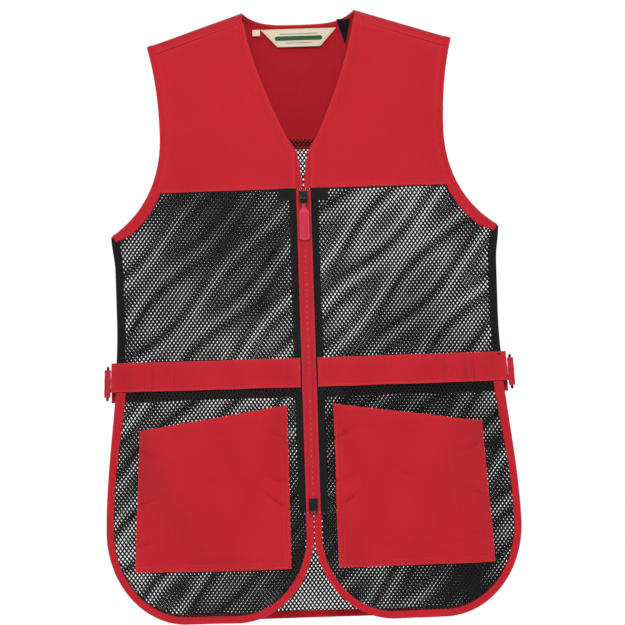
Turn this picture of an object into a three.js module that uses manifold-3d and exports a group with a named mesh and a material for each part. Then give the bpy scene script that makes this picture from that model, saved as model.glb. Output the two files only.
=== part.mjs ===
// Mesh-back field vest with cloth yokes, patch pockets, a two-way zip and a waist belt with side buckles.
// It hangs upright: +Z is up, the front faces -Y and the wearer's left side is +X.
// Lengths are in millimetres. The origin is the middle of the back neck edge, where a hook holds the vest.
import * as THREE from 'three';
import { mergeVertices } from 'three/addons/utils/BufferGeometryUtils.js';
import Module from 'manifold-3d';

const wasm = await Module();
wasm.setup();

// ---- overall form; heights are measured down from the neck points of the shoulders ----
const vestLength = 764;
const pitHalf = 244;
const waistHalf = pitHalf - 4;
const hemHalf = pitHalf + 19;
const waistFall = 45;
const frontDepth = 52;
const backDepth = 54;
const shoulderRound = 150;
// ---- neck, shoulders and armholes ----
const neckHalf = 70.4;
const backNeckDrop = 15;
const vDepth = 178;
const vCurve = 1.45;
const tipHalf = pitHalf - 53.5;
const tipDrop = 39.3;
const chestHalf = pitHalf - 66.7;
const chestBelowTip = 112;
const chestBendBelowTip = 50;
const pitDrop = 275;
const pitTurnRise = 63;
const pitSweepRise = 22;
const pitSweepShare = 0.45;
const shoulderSeamDrop = 12;
const frontYokeDrop = 223;
const backYokeDrop = 172;
// ---- cloth, seams and trims ----
const cloth = 1.2;
const gap = 0.3;
const seamInset = 2.2;
const bindingWidth = 8.5;
const neckBandWidth = 6;
const neckBandShare = 5 / 6;
const facingWidth = 25;
// ---- zip ----
const zipSlot = 0.8;
const zipHalf = zipSlot + bindingWidth;
const zipEnd = vestLength - 136;
const coilWidth = 3.2;
const coilThick = 2.2;
const coilPitch = 8;
const coilTooth = 1.2;
const coilStart = 8;
const coilEnd = 12;
const sliderLength = 15;
const sliderHalf = 5.5;
const sliderPlate = 1.6;
const pullLength = 38;
const pullWidth = 12.5;
const linkLength = 9;
const lowerPullLength = 14;
const wireFrameWidth = 8.5;
const topTabWidth = 21;
const topTabHeight = 14.5;
const placketWidth = 10;
// ---- belt and buckles ----
const beltTop = 434.5;
const beltWidth = 37;
const backBeltDrop = 14.5;
const backBeltLift = pitHalf - 79;
const buckleReach = 14;
const buckleBar = 3;
const strapThick = 1.2;
// ---- pockets ----
const pocketInner = 30;
const pocketTopOuter = pitHalf - 30.5;
const pocketBottomOuter = hemHalf - 37.5;
const pocketInnerTop = beltTop + beltWidth + 21.5;
const pocketOuterTop = pocketInnerTop + 27.5;
const pocketBottom = vestLength - 66;
const pocketBulge = 18;
const backingInset = 12;
const backingBelow = 14;
const backingBeside = 8;
// ---- side seam tape ----
const tapeHalf = 2.2;
const tapeProud = 1.7;
const tapeThick = 0.8;
const tapeEndGap = 2;

const left = 1;
const right = -1;
const front = -1;
const back = 1;

// Depth of each layer of cloth along the outward normal of the vest's surface.
const onSurface = [-cloth / 2, cloth / 2];
const outside = [cloth / 2 + gap, cloth * 1.5 + gap];
const inside = [-cloth * 1.5 - gap, -cloth / 2 - gap];

const lerp = THREE.MathUtils.lerp;
const shoulderSlope = tipDrop / (tipHalf - neckHalf);
const hemCornerInner = { x: 100, drop: vestLength - 109 };
const hemCornerOuter = { x: pitHalf - 81, drop: vestLength - 114 };
const ventTop = beltTop + beltWidth;
const flareAbove = 90;
const flareBelow = 10;

// Height of the shoulder line, which runs straight from the neck point to the shoulder tip.
function shoulderZ(x) {
  return -shoulderSlope * (Math.abs(x) - neckHalf);
}

// Half width of the vest at a height: level at the chest, then flaring to the hem.
function sideX(z) {
  const waist = THREE.MathUtils.smoothstep(-z, pitDrop, pitDrop + waistFall);
  const flare = THREE.MathUtils.smoothstep(-z, ventTop - flareAbove, hemCornerOuter.drop + flareBelow);
  return pitHalf + (waistHalf - pitHalf) * waist + (hemHalf - waistHalf) * flare;
}

// A point of the vest's surface: a lens in plan, drawn in over the shoulder line as a rounded fold.
function drape(x, z, face) {
  const below = Math.max(0, shoulderZ(x) - z);
  const rise = 1 - Math.min(below, shoulderRound) / shoulderRound;
  const lens = 1 - (x / sideX(z)) ** 2;
  const depth = face === front ? frontDepth : backDepth;
  return new THREE.Vector3(x, face * depth * lens * Math.sqrt(1 - rise * rise), z);
}

// Neck edge of the front: a V that runs from the neck point into the zip.
function vEdge(z) {
  return zipHalf + (neckHalf - zipHalf) * Math.max(0, 1 - (Math.max(0, -z) / vDepth) ** vCurve);
}

// Neck edge of the back.
function backNeckZ(x) {
  return -backNeckDrop * (1 - Math.min(1, Math.abs(x) / neckHalf) ** 4);
}

// Armhole edge as a run of points from the shoulder tip to the side seam, moved inwards by an inset.
function armholeLine(inset) {
  const curve = new THREE.CurvePath();
  const pitX = pitHalf - seamInset;
  const tip = new THREE.Vector2(tipHalf, -tipDrop);
  const bend = new THREE.Vector2(chestHalf, -tipDrop - chestBendBelowTip);
  const chest = new THREE.Vector2(chestHalf, -tipDrop - chestBelowTip);
  const turn = new THREE.Vector2(chestHalf, pitTurnRise - pitDrop);
  const sweep = new THREE.Vector2(lerp(chestHalf, pitX, pitSweepShare), pitSweepRise - pitDrop);
  const pit = new THREE.Vector2(pitX, -pitDrop);
  curve.add(new THREE.QuadraticBezierCurve(tip, bend, chest));
  curve.add(new THREE.CubicBezierCurve(chest, turn, sweep, pit));
  const steps = 30;
  const nudge = 0.002;
  const line = [];
  for (let i = 0; i <= steps; i += 1) {
    const point = curve.getPoint(i / steps);
    const ahead = curve.getPoint(Math.min(1, i / steps + nudge));
    const along = ahead.sub(curve.getPoint(Math.max(0, i / steps - nudge))).normalize();
    line.push([point.x + along.y * inset, point.y - along.x * inset]);
  }
  return line;
}

// Half width of a line of points at a height.
function xAt(line, z) {
  for (let i = 1; i < line.length; i += 1) {
    if (z >= line[i][1]) {
      const t = (z - line[i - 1][1]) / (line[i][1] - line[i - 1][1]);
      return lerp(line[i - 1][0], line[i][0], THREE.MathUtils.clamp(t, 0, 1));
    }
  }
  return Infinity;
}

const ventSteps = 8;
const cornerSteps = 14;
const hemSteps = 4;

// Lower outline from the top of a side vent down to the hem, round the outer corner.
function ventLine(inset) {
  const line = [];
  for (let i = 0; i < ventSteps; i += 1) {
    const z = -lerp(ventTop + gap, hemCornerOuter.drop, i / ventSteps);
    line.push([sideX(z) - seamInset - inset, z]);
  }
  const reach = sideX(-hemCornerOuter.drop) - seamInset - inset - hemCornerOuter.x;
  for (let i = 0; i <= cornerSteps; i += 1) {
    const turn = (i / cornerSteps) * Math.PI / 2;
    const fall = (vestLength - hemCornerOuter.drop - inset) * Math.sin(turn);
    line.push([hemCornerOuter.x + reach * Math.cos(turn), -hemCornerOuter.drop - fall]);
  }
  return line;
}

// Lower outline of a front: down the side vent, round the hem and up to the end of the zip.
function frontHemLine(inset) {
  const line = ventLine(inset);
  const reach = hemCornerInner.x - zipSlot - inset;
  for (let i = cornerSteps; i >= 0; i -= 1) {
    const turn = (i / cornerSteps) * Math.PI / 2;
    const fall = (vestLength - hemCornerInner.drop - inset) * Math.sin(turn);
    line.push([hemCornerInner.x - reach * Math.cos(turn), -hemCornerInner.drop - fall]);
  }
  line.push([zipSlot + inset, -zipEnd - gap]);
  return line;
}

// Lower outline of the back: down one vent, round the hem and up the other, symmetric about the middle.
function backHemLine(inset) {
  const half = ventLine(inset);
  for (let i = 1; i <= hemSteps; i += 1) {
    half.push([hemCornerOuter.x * (1 - i / hemSteps), -vestLength + inset]);
  }
  const mirrored = half.slice(0, -1).reverse().map(([x, z]) => [-x, z]);
  return half.concat(mirrored);
}

// ---- solids ----

// A closed sheet of cloth over a grid of surface points, between two depths along the normal.
function sheet(points, layer, outward, present = () => true) {
  const rows = points.length;
  const cols = points[0].length;
  const at = (i, j) => points[THREE.MathUtils.clamp(i, 0, rows - 1)][THREE.MathUtils.clamp(j, 0, cols - 1)];
  const normalAt = (i, j) => {
    const down = at(i + 1, j).clone().sub(at(i - 1, j));
    const across = at(i, j + 1).clone().sub(at(i, j - 1));
    return down.cross(across).normalize();
  };
  const middle = [Math.floor(rows / 2), Math.floor(cols / 2)];
  const flip = normalAt(...middle).dot(outward) < 0 ? -1 : 1;
  const positions = [];
  for (const depth of layer) {
    for (let i = 0; i < rows; i += 1) {
      for (let j = 0; j < cols; j += 1) {
        positions.push(...at(i, j).clone().addScaledVector(normalAt(i, j), depth * flip).toArray());
      }
    }
  }
  const lower = (i, j) => i * cols + j;
  const upper = (i, j) => rows * cols + i * cols + j;
  const index = [];
  const quad = (a, b, c, d) => index.push(...(flip > 0 ? [a, b, c, a, c, d] : [a, c, b, a, d, c]));
  const filled = (i, j) => i >= 0 && j >= 0 && i < rows - 1 && j < cols - 1 && present(i, j);
  for (let i = 0; i < rows - 1; i += 1) {
    for (let j = 0; j < cols - 1; j += 1) {
      if (!filled(i, j)) {
        continue;
      }
      quad(upper(i, j), upper(i + 1, j), upper(i + 1, j + 1), upper(i, j + 1));
      quad(lower(i, j), lower(i, j + 1), lower(i + 1, j + 1), lower(i + 1, j));
      if (!filled(i - 1, j)) {
        quad(lower(i, j), upper(i, j), upper(i, j + 1), lower(i, j + 1));
      }
      if (!filled(i + 1, j)) {
        quad(lower(i + 1, j + 1), upper(i + 1, j + 1), upper(i + 1, j), lower(i + 1, j));
      }
      if (!filled(i, j - 1)) {
        quad(lower(i + 1, j), upper(i + 1, j), upper(i, j), lower(i, j));
      }
      if (!filled(i, j + 1)) {
        quad(lower(i, j + 1), upper(i, j + 1), upper(i + 1, j + 1), lower(i + 1, j + 1));
      }
    }
  }
  const geometry = new THREE.BufferGeometry();
  geometry.setAttribute('position', new THREE.Float32BufferAttribute(positions, 3));
  geometry.setIndex(index);
  return geometry;
}

// A grid of points: rows by columns, each point given by the two fractions along them.
function grid(rows, cols, pointAt) {
  return Array.from({ length: rows + 1 }, (_, i) =>
    Array.from({ length: cols + 1 }, (__, j) => pointAt(i / rows, j / cols)));
}

const facing = (face) => new THREE.Vector3(0, face, 0);

// A strip of cloth between two runs of points on one face of the vest.
function strip(outer, inner, side, face, layer) {
  const points = outer.map(([x, z], i) => [
    drape(side * x, z, face),
    drape(side * inner[i][0], inner[i][1], face),
  ]);
  return sheet(points, layer, facing(face));
}

function box(width, depth, height, x = 0, y = 0, z = 0) {
  return new THREE.BoxGeometry(width, depth, height).translate(x, y, z);
}

function toManifold(geometry) {
  const bare = geometry.clone();
  bare.deleteAttribute('normal');
  bare.deleteAttribute('uv');
  const merged = mergeVertices(bare, 1e-4);
  return new wasm.Manifold(new wasm.Mesh({
    numProp: 3,
    vertProperties: new Float32Array(merged.attributes.position.array),
    triVerts: new Uint32Array(merged.index.array),
  }));
}

function fromManifold(solid) {
  const mesh = solid.getMesh();
  const geometry = new THREE.BufferGeometry();
  geometry.setAttribute('position', new THREE.Float32BufferAttribute(mesh.vertProperties, 3));
  geometry.setIndex(Array.from(mesh.triVerts));
  return geometry;
}

function join(...geometries) {
  return fromManifold(geometries.map(toManifold).reduce((whole, piece) => whole.add(piece)));
}

function cut(geometry, ...tools) {
  const whole = toManifold(geometry);
  return fromManifold(tools.map(toManifold).reduce((rest, tool) => rest.subtract(tool), whole));
}

// A round bar or hole along X.
function rodAlongX(radius, length, y, z) {
  return new THREE.CylinderGeometry(radius, radius, length, 16).rotateZ(Math.PI / 2).translate(0, y, z);
}

// ---- materials ----
const finishes = {
  redCloth: { color: 0xc22a36, roughness: 0.8 },
  blackMesh: { color: 0x17181a, roughness: 0.75 },
  blackTape: { color: 0x101113, roughness: 0.7 },
  zipTape: { color: 0xb8222f, roughness: 0.7 },
  blackPlastic: { color: 0x0c0c0e, roughness: 0.35 },
  blackMetal: { color: 0x15161a, roughness: 0.3, metalness: 0.8 },
  softPull: { color: 0xd0384c, roughness: 0.5 },
  cream: { color: 0xe9e2c8, roughness: 0.7 },
  green: { color: 0x2f5b3c, roughness: 0.7 },
};

const vest = new THREE.Group();
vest.name = 'vest';
const nape = drape(0, -backNeckDrop, back);
vest.position.copy(nape).negate();

function piece(name, geometry, finish) {
  const mesh = new THREE.Mesh(geometry, new THREE.MeshStandardMaterial(finishes[finish]));
  mesh.name = name;
  vest.add(mesh);
  return mesh;
}

// ---- back yoke: one cloth from the back, over both shoulders, to a seam on the front ----
const armholeEdge = armholeLine(0);
const armholeSeam = armholeLine(bindingWidth);
const armholeCloth = armholeLine(bindingWidth + 3 * gap);

// Cuts a run of points at a height, with a new point there; the part above or below is kept.
function clipLine(line, z, keepAbove) {
  const near = 0.01;
  const kept = line.filter((point) => (keepAbove ? point[1] > z + near : point[1] < z - near));
  const end = [xAt(line, z), z];
  return keepAbove ? [...kept, end] : [end, ...kept];
}

// Half width of the shoulder cloth at a depth below the shoulder line.
function clothHalfBelow(line, below) {
  let x = tipHalf;
  for (let i = 0; i < 6; i += 1) {
    x = xAt(line, Math.min(shoulderZ(x) - below, line[0][1]));
  }
  return x;
}

function backYoke() {
  const halfCols = 14;
  const neckCells = 6;
  const across = [];
  for (let j = -halfCols; j <= halfCols; j += 1) {
    across.push(j / halfCols);
  }
  const neckShare = neckCells / halfCols;
  const columnX = (share, edge) => {
    const size = Math.abs(share);
    const x = size <= neckShare
      ? (size / neckShare) * neckHalf
      : lerp(neckHalf, edge, (size - neckShare) / (1 - neckShare));
    return Math.sign(share) * x;
  };
  const flapRows = 3;
  const backRows = 8;
  const rowCrowding = 1.7;
  const points = [];
  for (let i = 0; i < flapRows; i += 1) {
    const below = shoulderSeamDrop * (1 - i / flapRows) ** 2;
    const edge = clothHalfBelow(armholeCloth, below);
    points.push(across.map((share) => {
      const x = columnX(share, edge);
      return drape(x, shoulderZ(x) - below, front);
    }));
  }
  for (let i = 0; i <= backRows; i += 1) {
    const t = (i / backRows) ** rowCrowding;
    points.push(across.map((share) => {
      const guess = columnX(share, armholeCloth[0][0]);
      const neck = Math.abs(guess) < neckHalf ? backNeckZ(guess) - neckBandWidth - gap : shoulderZ(guess);
      const top = Math.abs(share) === neckShare ? shoulderZ(neckHalf) : neck;
      const z = lerp(top, -backYokeDrop, t);
      const edge = xAt(armholeCloth, Math.min(z, armholeCloth[0][1]));
      const x = columnX(share, edge);
      return drape(x, Math.min(z, shoulderZ(x)), back);
    }));
  }
  const present = (i, j) => i >= flapRows || j < halfCols - neckCells || j >= halfCols + neckCells;
  return sheet(points, onSurface, facing(back), present);
}
piece('back_yoke', backYoke(), 'redCloth');

// ---- back mesh panel, from the yoke seam to the hem binding ----
// Half width of a panel at a height, inside the armhole, the side seam and the hem binding.
function panelOuter(z) {
  const depth = bindingWidth + gap;
  const side = sideX(z) - seamInset - (z < -ventTop ? depth : 0);
  if (z > -hemCornerOuter.drop) {
    return Math.min(side, xAt(armholeCloth, z));
  }
  const reach = sideX(-hemCornerOuter.drop) - seamInset - depth - hemCornerOuter.x;
  const fall = (-z - hemCornerOuter.drop) / (vestLength - hemCornerOuter.drop - depth);
  return hemCornerOuter.x + reach * Math.sqrt(Math.max(0, 1 - fall * fall));
}

function panelInner(z) {
  const depth = bindingWidth + gap;
  if (z > -hemCornerInner.drop) {
    return zipHalf + gap;
  }
  const reach = hemCornerInner.x - zipSlot - depth;
  const fall = (-z - hemCornerInner.drop) / (vestLength - hemCornerInner.drop - depth);
  const curved = hemCornerInner.x - reach * Math.sqrt(Math.max(0, 1 - fall * fall));
  return Math.max(zipHalf + gap, curved);
}

// Heights of a panel's rows: from its top, closer together at the armhole and round the hem corners.
function panelRows(topDrop) {
  const pitRows = 10;
  const sideRows = 8;
  const ventRows = 4;
  const hemRows = 9;
  const turnAbovePit = 75;
  const turnBelowPit = 4;
  const step = 0.02;
  const drops = [];
  const turnDrop = hemCornerOuter.drop;
  const turnTop = Math.max(topDrop + gap, pitDrop - turnAbovePit);
  const turnEnd = pitDrop + bindingWidth + turnBelowPit;
  if (turnTop > topDrop + 1) {
    drops.push(topDrop + gap);
  }
  for (let i = 0; i < pitRows; i += 1) {
    drops.push(lerp(turnTop, turnEnd, i / pitRows));
  }
  for (let i = 0; i < sideRows; i += 1) {
    drops.push(lerp(turnEnd, ventTop, i / sideRows));
  }
  drops.push(ventTop, ventTop + step);
  for (let i = 1; i < ventRows; i += 1) {
    drops.push(lerp(ventTop, turnDrop, i / ventRows));
  }
  const low = vestLength - bindingWidth - gap;
  for (let i = 0; i <= hemRows; i += 1) {
    drops.push(turnDrop + (low - turnDrop) * Math.sin((i / hemRows) * Math.PI / 2));
  }
  return drops;
}

function backPanel() {
  const drops = panelRows(backYokeDrop);
  const cols = 12;
  const points = drops.map((drop) => Array.from({ length: cols + 1 }, (_, j) =>
    drape(lerp(-1, 1, j / cols) * panelOuter(-drop), -drop, back)));
  return sheet(points, onSurface, facing(back));
}
piece('back_mesh_panel', backPanel(), 'blackMesh');

// ---- neck band of the back ----
piece('back_neck_binding', sheet(grid(1, 10, (v, u) => {
  const x = lerp(-1, 1, u) * neckHalf * neckBandShare;
  return drape(x, backNeckZ(x) - v * neckBandWidth, back);
}), onSurface, facing(back)), 'redCloth');

// ---- back hem binding ----
piece('back_hem_binding', strip(backHemLine(0), backHemLine(bindingWidth), 1, back, onSurface), 'redCloth');

// ---- belt of the back, standing off the sides where it reaches the buckles ----
const beltMiddle = -(beltTop + beltWidth / 2 + backBeltDrop / 2);
const swingTop = new THREE.Vector3(pitHalf, 0, -pitDrop);
const swingLow = new THREE.Vector3(hemHalf + 1, 0, -hemCornerOuter.drop);
const swingAxis = swingTop.clone().sub(swingLow).normalize();
const swingAt = (z) => swingTop.clone().addScaledVector(swingAxis, (z - swingTop.z) / swingAxis.z);
const bucklePoint = swingAt(beltMiddle);
const backBeltTop = beltTop + backBeltDrop;
const loopInner = buckleBar * Math.SQRT1_2 + 2 * gap;
const loopOuter = loopInner + strapThick;

// Half length of a belt at a height, up to the strap loop of the buckle.
function beltReach(z) {
  return swingAt(z).x - loopOuter - strapThick - gap;
}

function backBelt() {
  return sheet(grid(1, 24, (v, u) => {
    const z = -backBeltTop - v * (beltWidth - 1);
    const reach = beltReach(z);
    const x = lerp(-1, 1, u) * reach;
    const on = drape(x, z, back).y;
    const span = THREE.MathUtils.smoothstep(Math.abs(x), backBeltLift, reach);
    return new THREE.Vector3(x, Math.max(on, on + (buckleReach - on) * span), z);
  }), outside, facing(back));
}
piece('back_belt', backBelt(), 'redCloth');

// ---- label and size tab inside the back neck ----
const labelTop = backNeckDrop + neckBandWidth - 1;
const labelHeight = 22;
const labelTopHalf = 47.5;
const labelLowHalf = 27;
const labelClear = cloth / 2 + gap + 0.2;
const labelThick = 0.8;
const stripeHalf = 30;
const stripeThick = 0.5;

function labelPlate(topHalf, lowHalf, from, to, thick, raised) {
  const upper = drape(labelTopHalf, -labelTop, back).y - labelClear;
  const lower = drape(labelTopHalf, -labelTop - labelHeight, back).y - labelClear;
  const points = grid(1, 1, (v, u) => {
    const share = lerp(from, to, v);
    const x = lerp(-1, 1, u) * lerp(topHalf, lowHalf, share);
    return new THREE.Vector3(x, lerp(upper, lower, share), -labelTop - share * labelHeight);
  });
  return sheet(points, [-raised - thick, -raised], facing(back));
}
piece('label_patch', labelPlate(labelTopHalf, labelLowHalf, 0, 1, labelThick, 0), 'cream');
piece('label_stripe', labelPlate(stripeHalf, stripeHalf, 0.42, 0.62, stripeThick, labelThick + gap), 'green');

const tabHalf = 4.8;
const tabHeight = 7.5;
const tabX = -(labelTopHalf + tabHalf + 1);
const tabPivot = drape(tabX - tabHalf, -labelTop, back);
tabPivot.x = tabX;
tabPivot.y -= labelClear + labelThick / 2;
const tabShape = box(2 * tabHalf, labelThick, tabHeight, tabPivot.x, tabPivot.y, tabPivot.z - tabHeight / 2);
piece('size_tab', tabShape, 'cream');

// ---- pieces of each side ----
function sidePieces(side, word) {
  const named = (name) => `${name}_${word}`;

  // Armhole bindings: the front one ends at the shoulder seam, the back one goes over the shoulder to it.
  const seamZ = shoulderZ(tipHalf) - shoulderSeamDrop;
  const frontOuter = clipLine(armholeEdge, seamZ - gap, false);
  const frontInner = clipLine(armholeSeam, seamZ - gap, false);
  const count = Math.min(frontOuter.length, frontInner.length);
  piece(named('front_armhole_binding'),
    strip(frontOuter.slice(-count), frontInner.slice(-count), side, front, onSurface), 'redCloth');
  const foldRows = 4;
  const over = [];
  for (let i = 0; i < foldRows; i += 1) {
    const below = shoulderSeamDrop * (1 - i / foldRows) ** 2;
    const outer = clothHalfBelow(armholeEdge, below);
    const inner = clothHalfBelow(armholeSeam, below);
    over.push([
      drape(side * outer, shoulderZ(outer) - below, front),
      drape(side * inner, shoulderZ(inner) - below, front),
    ]);
  }
  for (let i = 0; i < foldRows; i += 1) {
    const below = (-armholeEdge[2][1] - tipDrop) * (i / foldRows) ** 2;
    const outer = clothHalfBelow(armholeEdge, below);
    const inner = clothHalfBelow(armholeSeam, below);
    over.push([
      drape(side * outer, shoulderZ(outer) - below, back),
      drape(side * inner, shoulderZ(inner) - below, back),
    ]);
  }
  armholeEdge.forEach(([x, z], i) => {
    if (i >= 2) {
      over.push([drape(side * x, z, back), drape(side * armholeSeam[i][0], armholeSeam[i][1], back)]);
    }
  });
  piece(named('back_armhole_binding'), sheet(over, onSurface, facing(back)), 'redCloth');

  // Side seam tape, closing the front and the back together between the armhole and the belt.
  piece(named('side_seam_tape'), sheet(grid(10, 1, (v, u) => {
    const z = -lerp(pitDrop + tapeEndGap, beltTop - tapeEndGap, v);
    return new THREE.Vector3(side * (sideX(z) - seamInset + tapeProud), lerp(-tapeHalf, tapeHalf, u), z);
  }), [-tapeThick / 2, tapeThick / 2], new THREE.Vector3(side, 0, 0)), 'blackTape');

  // Front yoke, with a facing behind its neck edge.
  const yokePoint = (v, u, reachShare) => {
    const innerTop = shoulderZ(neckHalf) - shoulderSeamDrop - gap;
    const innerZ = lerp(innerTop, -frontYokeDrop, v);
    const outerZ = lerp(shoulderZ(armholeCloth[0][0]) - shoulderSeamDrop - gap, -frontYokeDrop, v);
    const innerX = vEdge(innerZ);
    const outerX = xAt(armholeCloth, Math.min(outerZ, armholeCloth[0][1]));
    const share = u * reachShare(innerX, outerX);
    const x = lerp(innerX, outerX, share);
    return drape(side * x, lerp(innerZ, outerZ, share), front);
  };
  const rowCrowding = 1.3;
  const slant = (v) => v ** rowCrowding;
  const yokeGrid = grid(11, 7, (v, u) => yokePoint(slant(v), u, () => 1));
  piece(named('front_yoke'), sheet(yokeGrid, onSurface, facing(front)), 'redCloth');
  const facingGrid = grid(11, 1, (v, u) => yokePoint(slant(v), u, (a, b) => facingWidth / (b - a)));
  piece(named('neck_facing'), sheet(facingGrid, inside, facing(front)), 'redCloth');

  // Front mesh panel from the yoke to the hem binding.
  const drops = panelRows(frontYokeDrop);
  piece(named('front_mesh_panel'), sheet(drops.map((drop) => Array.from({ length: 8 }, (_, j) =>
    drape(side * lerp(panelInner(-drop), panelOuter(-drop), j / 7), -drop, front))),
  onSurface, facing(front)), 'blackMesh');

  // Binding of the vent, hem and front edge.
  piece(named('front_hem_binding'),
    strip(frontHemLine(0), frontHemLine(bindingWidth), side, front, onSurface), 'redCloth');

  // Zip tape and, behind it, half of the coil with its turns.
  const tapeTop = frontYokeDrop + gap;
  const tapeGrid = grid(6, 1, (v, u) =>
    drape(side * lerp(zipSlot, zipHalf, u), -lerp(tapeTop, zipEnd, v), front));
  piece(named('zip_tape'), sheet(tapeGrid, onSurface, facing(front)), 'zipTape');
  const coilShape = new THREE.Shape();
  const coilTop = -tapeTop - coilStart;
  const turns = Math.floor((zipEnd - coilEnd + coilTop) / coilPitch);
  const near = zipSlot;
  coilShape.moveTo(near + coilWidth, coilTop);
  coilShape.lineTo(near + coilWidth, coilTop - turns * coilPitch);
  for (let i = turns; i > 0; i -= 1) {
    const low = coilTop - i * coilPitch;
    coilShape.lineTo(near + coilTooth, low);
    coilShape.lineTo(near, low + coilPitch * 0.25);
    coilShape.lineTo(near, low + coilPitch * 0.75);
  }
  coilShape.lineTo(near + coilTooth, coilTop);
  const coil = new THREE.ExtrudeGeometry(coilShape, { depth: coilThick, bevelEnabled: false });
  coil.rotateX(Math.PI / 2);
  coil.translate(0, -frontDepth + cloth / 2 + gap + coilThick, 0);
  piece(named('zip_coil'), side === left ? coil : mirrorX(coil), 'blackPlastic');

  // Black tab beside the top of the zip, and the facing behind the zip's edge.
  piece(named('zip_top_tab'), sheet(grid(1, 3, (v, u) =>
    drape(side * (zipHalf + 1 + topTabWidth * u), -tapeTop - topTabHeight * v, front)),
  outside, facing(front)), 'blackTape');
  piece(named('placket_facing'), sheet(grid(6, 1, (v, u) =>
    drape(side * (zipHalf - 1 + placketWidth * u), -lerp(tapeTop + topTabHeight + 1.5, zipEnd, v), front)),
  inside, facing(front)), 'blackTape');

  // Belt of the front, sewn flat and carried past the side seam to the buckle.
  piece(named('front_belt'), sheet(grid(1, 12, (v, u) => {
    const z = -beltTop - v * beltWidth;
    return drape(side * lerp(zipHalf + 1.5, beltReach(z), u), z, front);
  }), outside, facing(front)), 'redCloth');

  // Patch pocket, standing off the panel and open at its slanted mouth, over a second layer of mesh.
  piece(named('pocket_patch'), sheet(grid(8, 8, (v, u) => {
    const x = lerp(pocketInner, lerp(pocketTopOuter, pocketBottomOuter, v), u);
    const z = -lerp(lerp(pocketInnerTop, pocketOuterTop, u), pocketBottom, v);
    const on = drape(side * x, z, front);
    on.y -= pocketBulge * (1 - (2 * u - 1) ** 4) * (1 - v ** 3);
    return on;
  }), outside, facing(front)), 'redCloth');
  piece(named('pocket_backing'), sheet(grid(5, 6, (v, u) => {
    const x = lerp(zipHalf + backingInset, pocketBottomOuter + backingBeside, u);
    return drape(side * x, -lerp(ventTop + backingInset, pocketBottom + backingBelow, v), front);
  }), inside, facing(front)), 'blackMesh');

  // Buckle at the side: a flat frame whose front bar lies on the line that the front swings about.
  const height = beltWidth + 7;
  const tilt = Math.atan2(swingAxis.x * side, swingAxis.z);
  const centre = new THREE.Vector3(side * bucklePoint.x, 0, bucklePoint.z);
  const frame = cut(
    box(buckleBar, buckleReach + buckleBar, height, 0, buckleReach / 2, 0),
    box(buckleBar * 2, buckleReach - buckleBar, height - 2 * buckleBar, 0, buckleReach / 2, 0),
  );
  const place = (geometry) => geometry.rotateY(tilt).translate(centre.x, centre.y, centre.z);
  piece(named('side_buckle'), place(frame), 'blackPlastic');

  // Strap loops round the buckle's two bars.
  const loopHeight = beltWidth - 2;
  const loop = (y) => {
    const ring = new THREE.LatheGeometry([
      new THREE.Vector2(loopInner, -loopHeight / 2),
      new THREE.Vector2(loopOuter, -loopHeight / 2),
      new THREE.Vector2(loopOuter, loopHeight / 2),
      new THREE.Vector2(loopInner, loopHeight / 2),
      new THREE.Vector2(loopInner, -loopHeight / 2),
    ], 16);
    return place(ring.rotateX(Math.PI / 2).translate(0, y, 0));
  };
  piece(named('front_belt_loop'), loop(0), 'redCloth');
  piece(named('back_belt_loop'), loop(buckleReach), 'redCloth');
}

// Mirrors a geometry across the middle plane and keeps its faces pointing outwards.
function mirrorX(geometry) {
  const whole = geometry.index ? geometry.toNonIndexed() : geometry.clone();
  const position = whole.attributes.position;
  const turned = [];
  for (let i = 0; i < position.count; i += 3) {
    for (const k of [0, 2, 1]) {
      turned.push(-position.getX(i + k), position.getY(i + k), position.getZ(i + k));
    }
  }
  const mirrored = new THREE.BufferGeometry();
  mirrored.setAttribute('position', new THREE.Float32BufferAttribute(turned, 3));
  return mirrored;
}

sidePieces(left, 'left');
sidePieces(right, 'right');

// ---- zip sliders: two plates round the tapes and the coil, joined by a post in the slot between them ----
const tapeFront = -frontDepth - cloth / 2 - gap;
const coilBack = -frontDepth + cloth / 2 + gap + coilThick + gap;
const postHeight = 5;
const postInset = 3;
const lugWidth = 3;
const lugHeight = 7;
const lugDrop = 2;
const lugRoot = 0.5;
const lugReach = 4.4;
const lugBore = 1.3;
const pinY = tapeFront - sliderPlate - lugReach / 2;
const wire = 1.2;
const eyeInner = 1.2;
const eyeOuter = 2.1;

function slider(z, up) {
  const frontPlate = box(2 * sliderHalf, sliderPlate, sliderLength, 0, tapeFront - sliderPlate / 2, z);
  const backPlate = box(2 * sliderHalf, sliderPlate, sliderLength, 0, coilBack + sliderPlate / 2, z);
  const span = coilBack - tapeFront + sliderPlate;
  const postZ = z + up * (sliderLength / 2 - postInset);
  const post = box(zipSlot * 2 - 2 * gap, span, postHeight, 0, (coilBack + tapeFront) / 2, postZ);
  const lugZ = z - up * lugDrop;
  const lug = box(lugWidth, lugReach + lugRoot, lugHeight, 0, pinY + lugRoot / 2, lugZ);
  const body = join(frontPlate, backPlate, post, lug);
  return cut(body, rodAlongX(lugBore, 2 * lugWidth, pinY, lugZ));
}

// A wire frame hanging from a bar at the given height.
function wireFrame(width, length, y, z) {
  const outer = new THREE.Shape();
  outer.moveTo(-width / 2, wire / 2);
  outer.lineTo(-width / 2, -length - wire / 2);
  outer.lineTo(width / 2, -length - wire / 2);
  outer.lineTo(width / 2, wire / 2);
  outer.closePath();
  const hole = new THREE.Path();
  hole.moveTo(-width / 2 + wire, -wire / 2);
  hole.lineTo(width / 2 - wire, -wire / 2);
  hole.lineTo(width / 2 - wire, -length + wire / 2);
  hole.lineTo(-width / 2 + wire, -length + wire / 2);
  hole.closePath();
  outer.holes.push(hole);
  const frame = new THREE.ExtrudeGeometry(outer, { depth: wire, bevelEnabled: false });
  return frame.rotateX(Math.PI / 2).translate(0, y + wire / 2, z);
}

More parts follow.
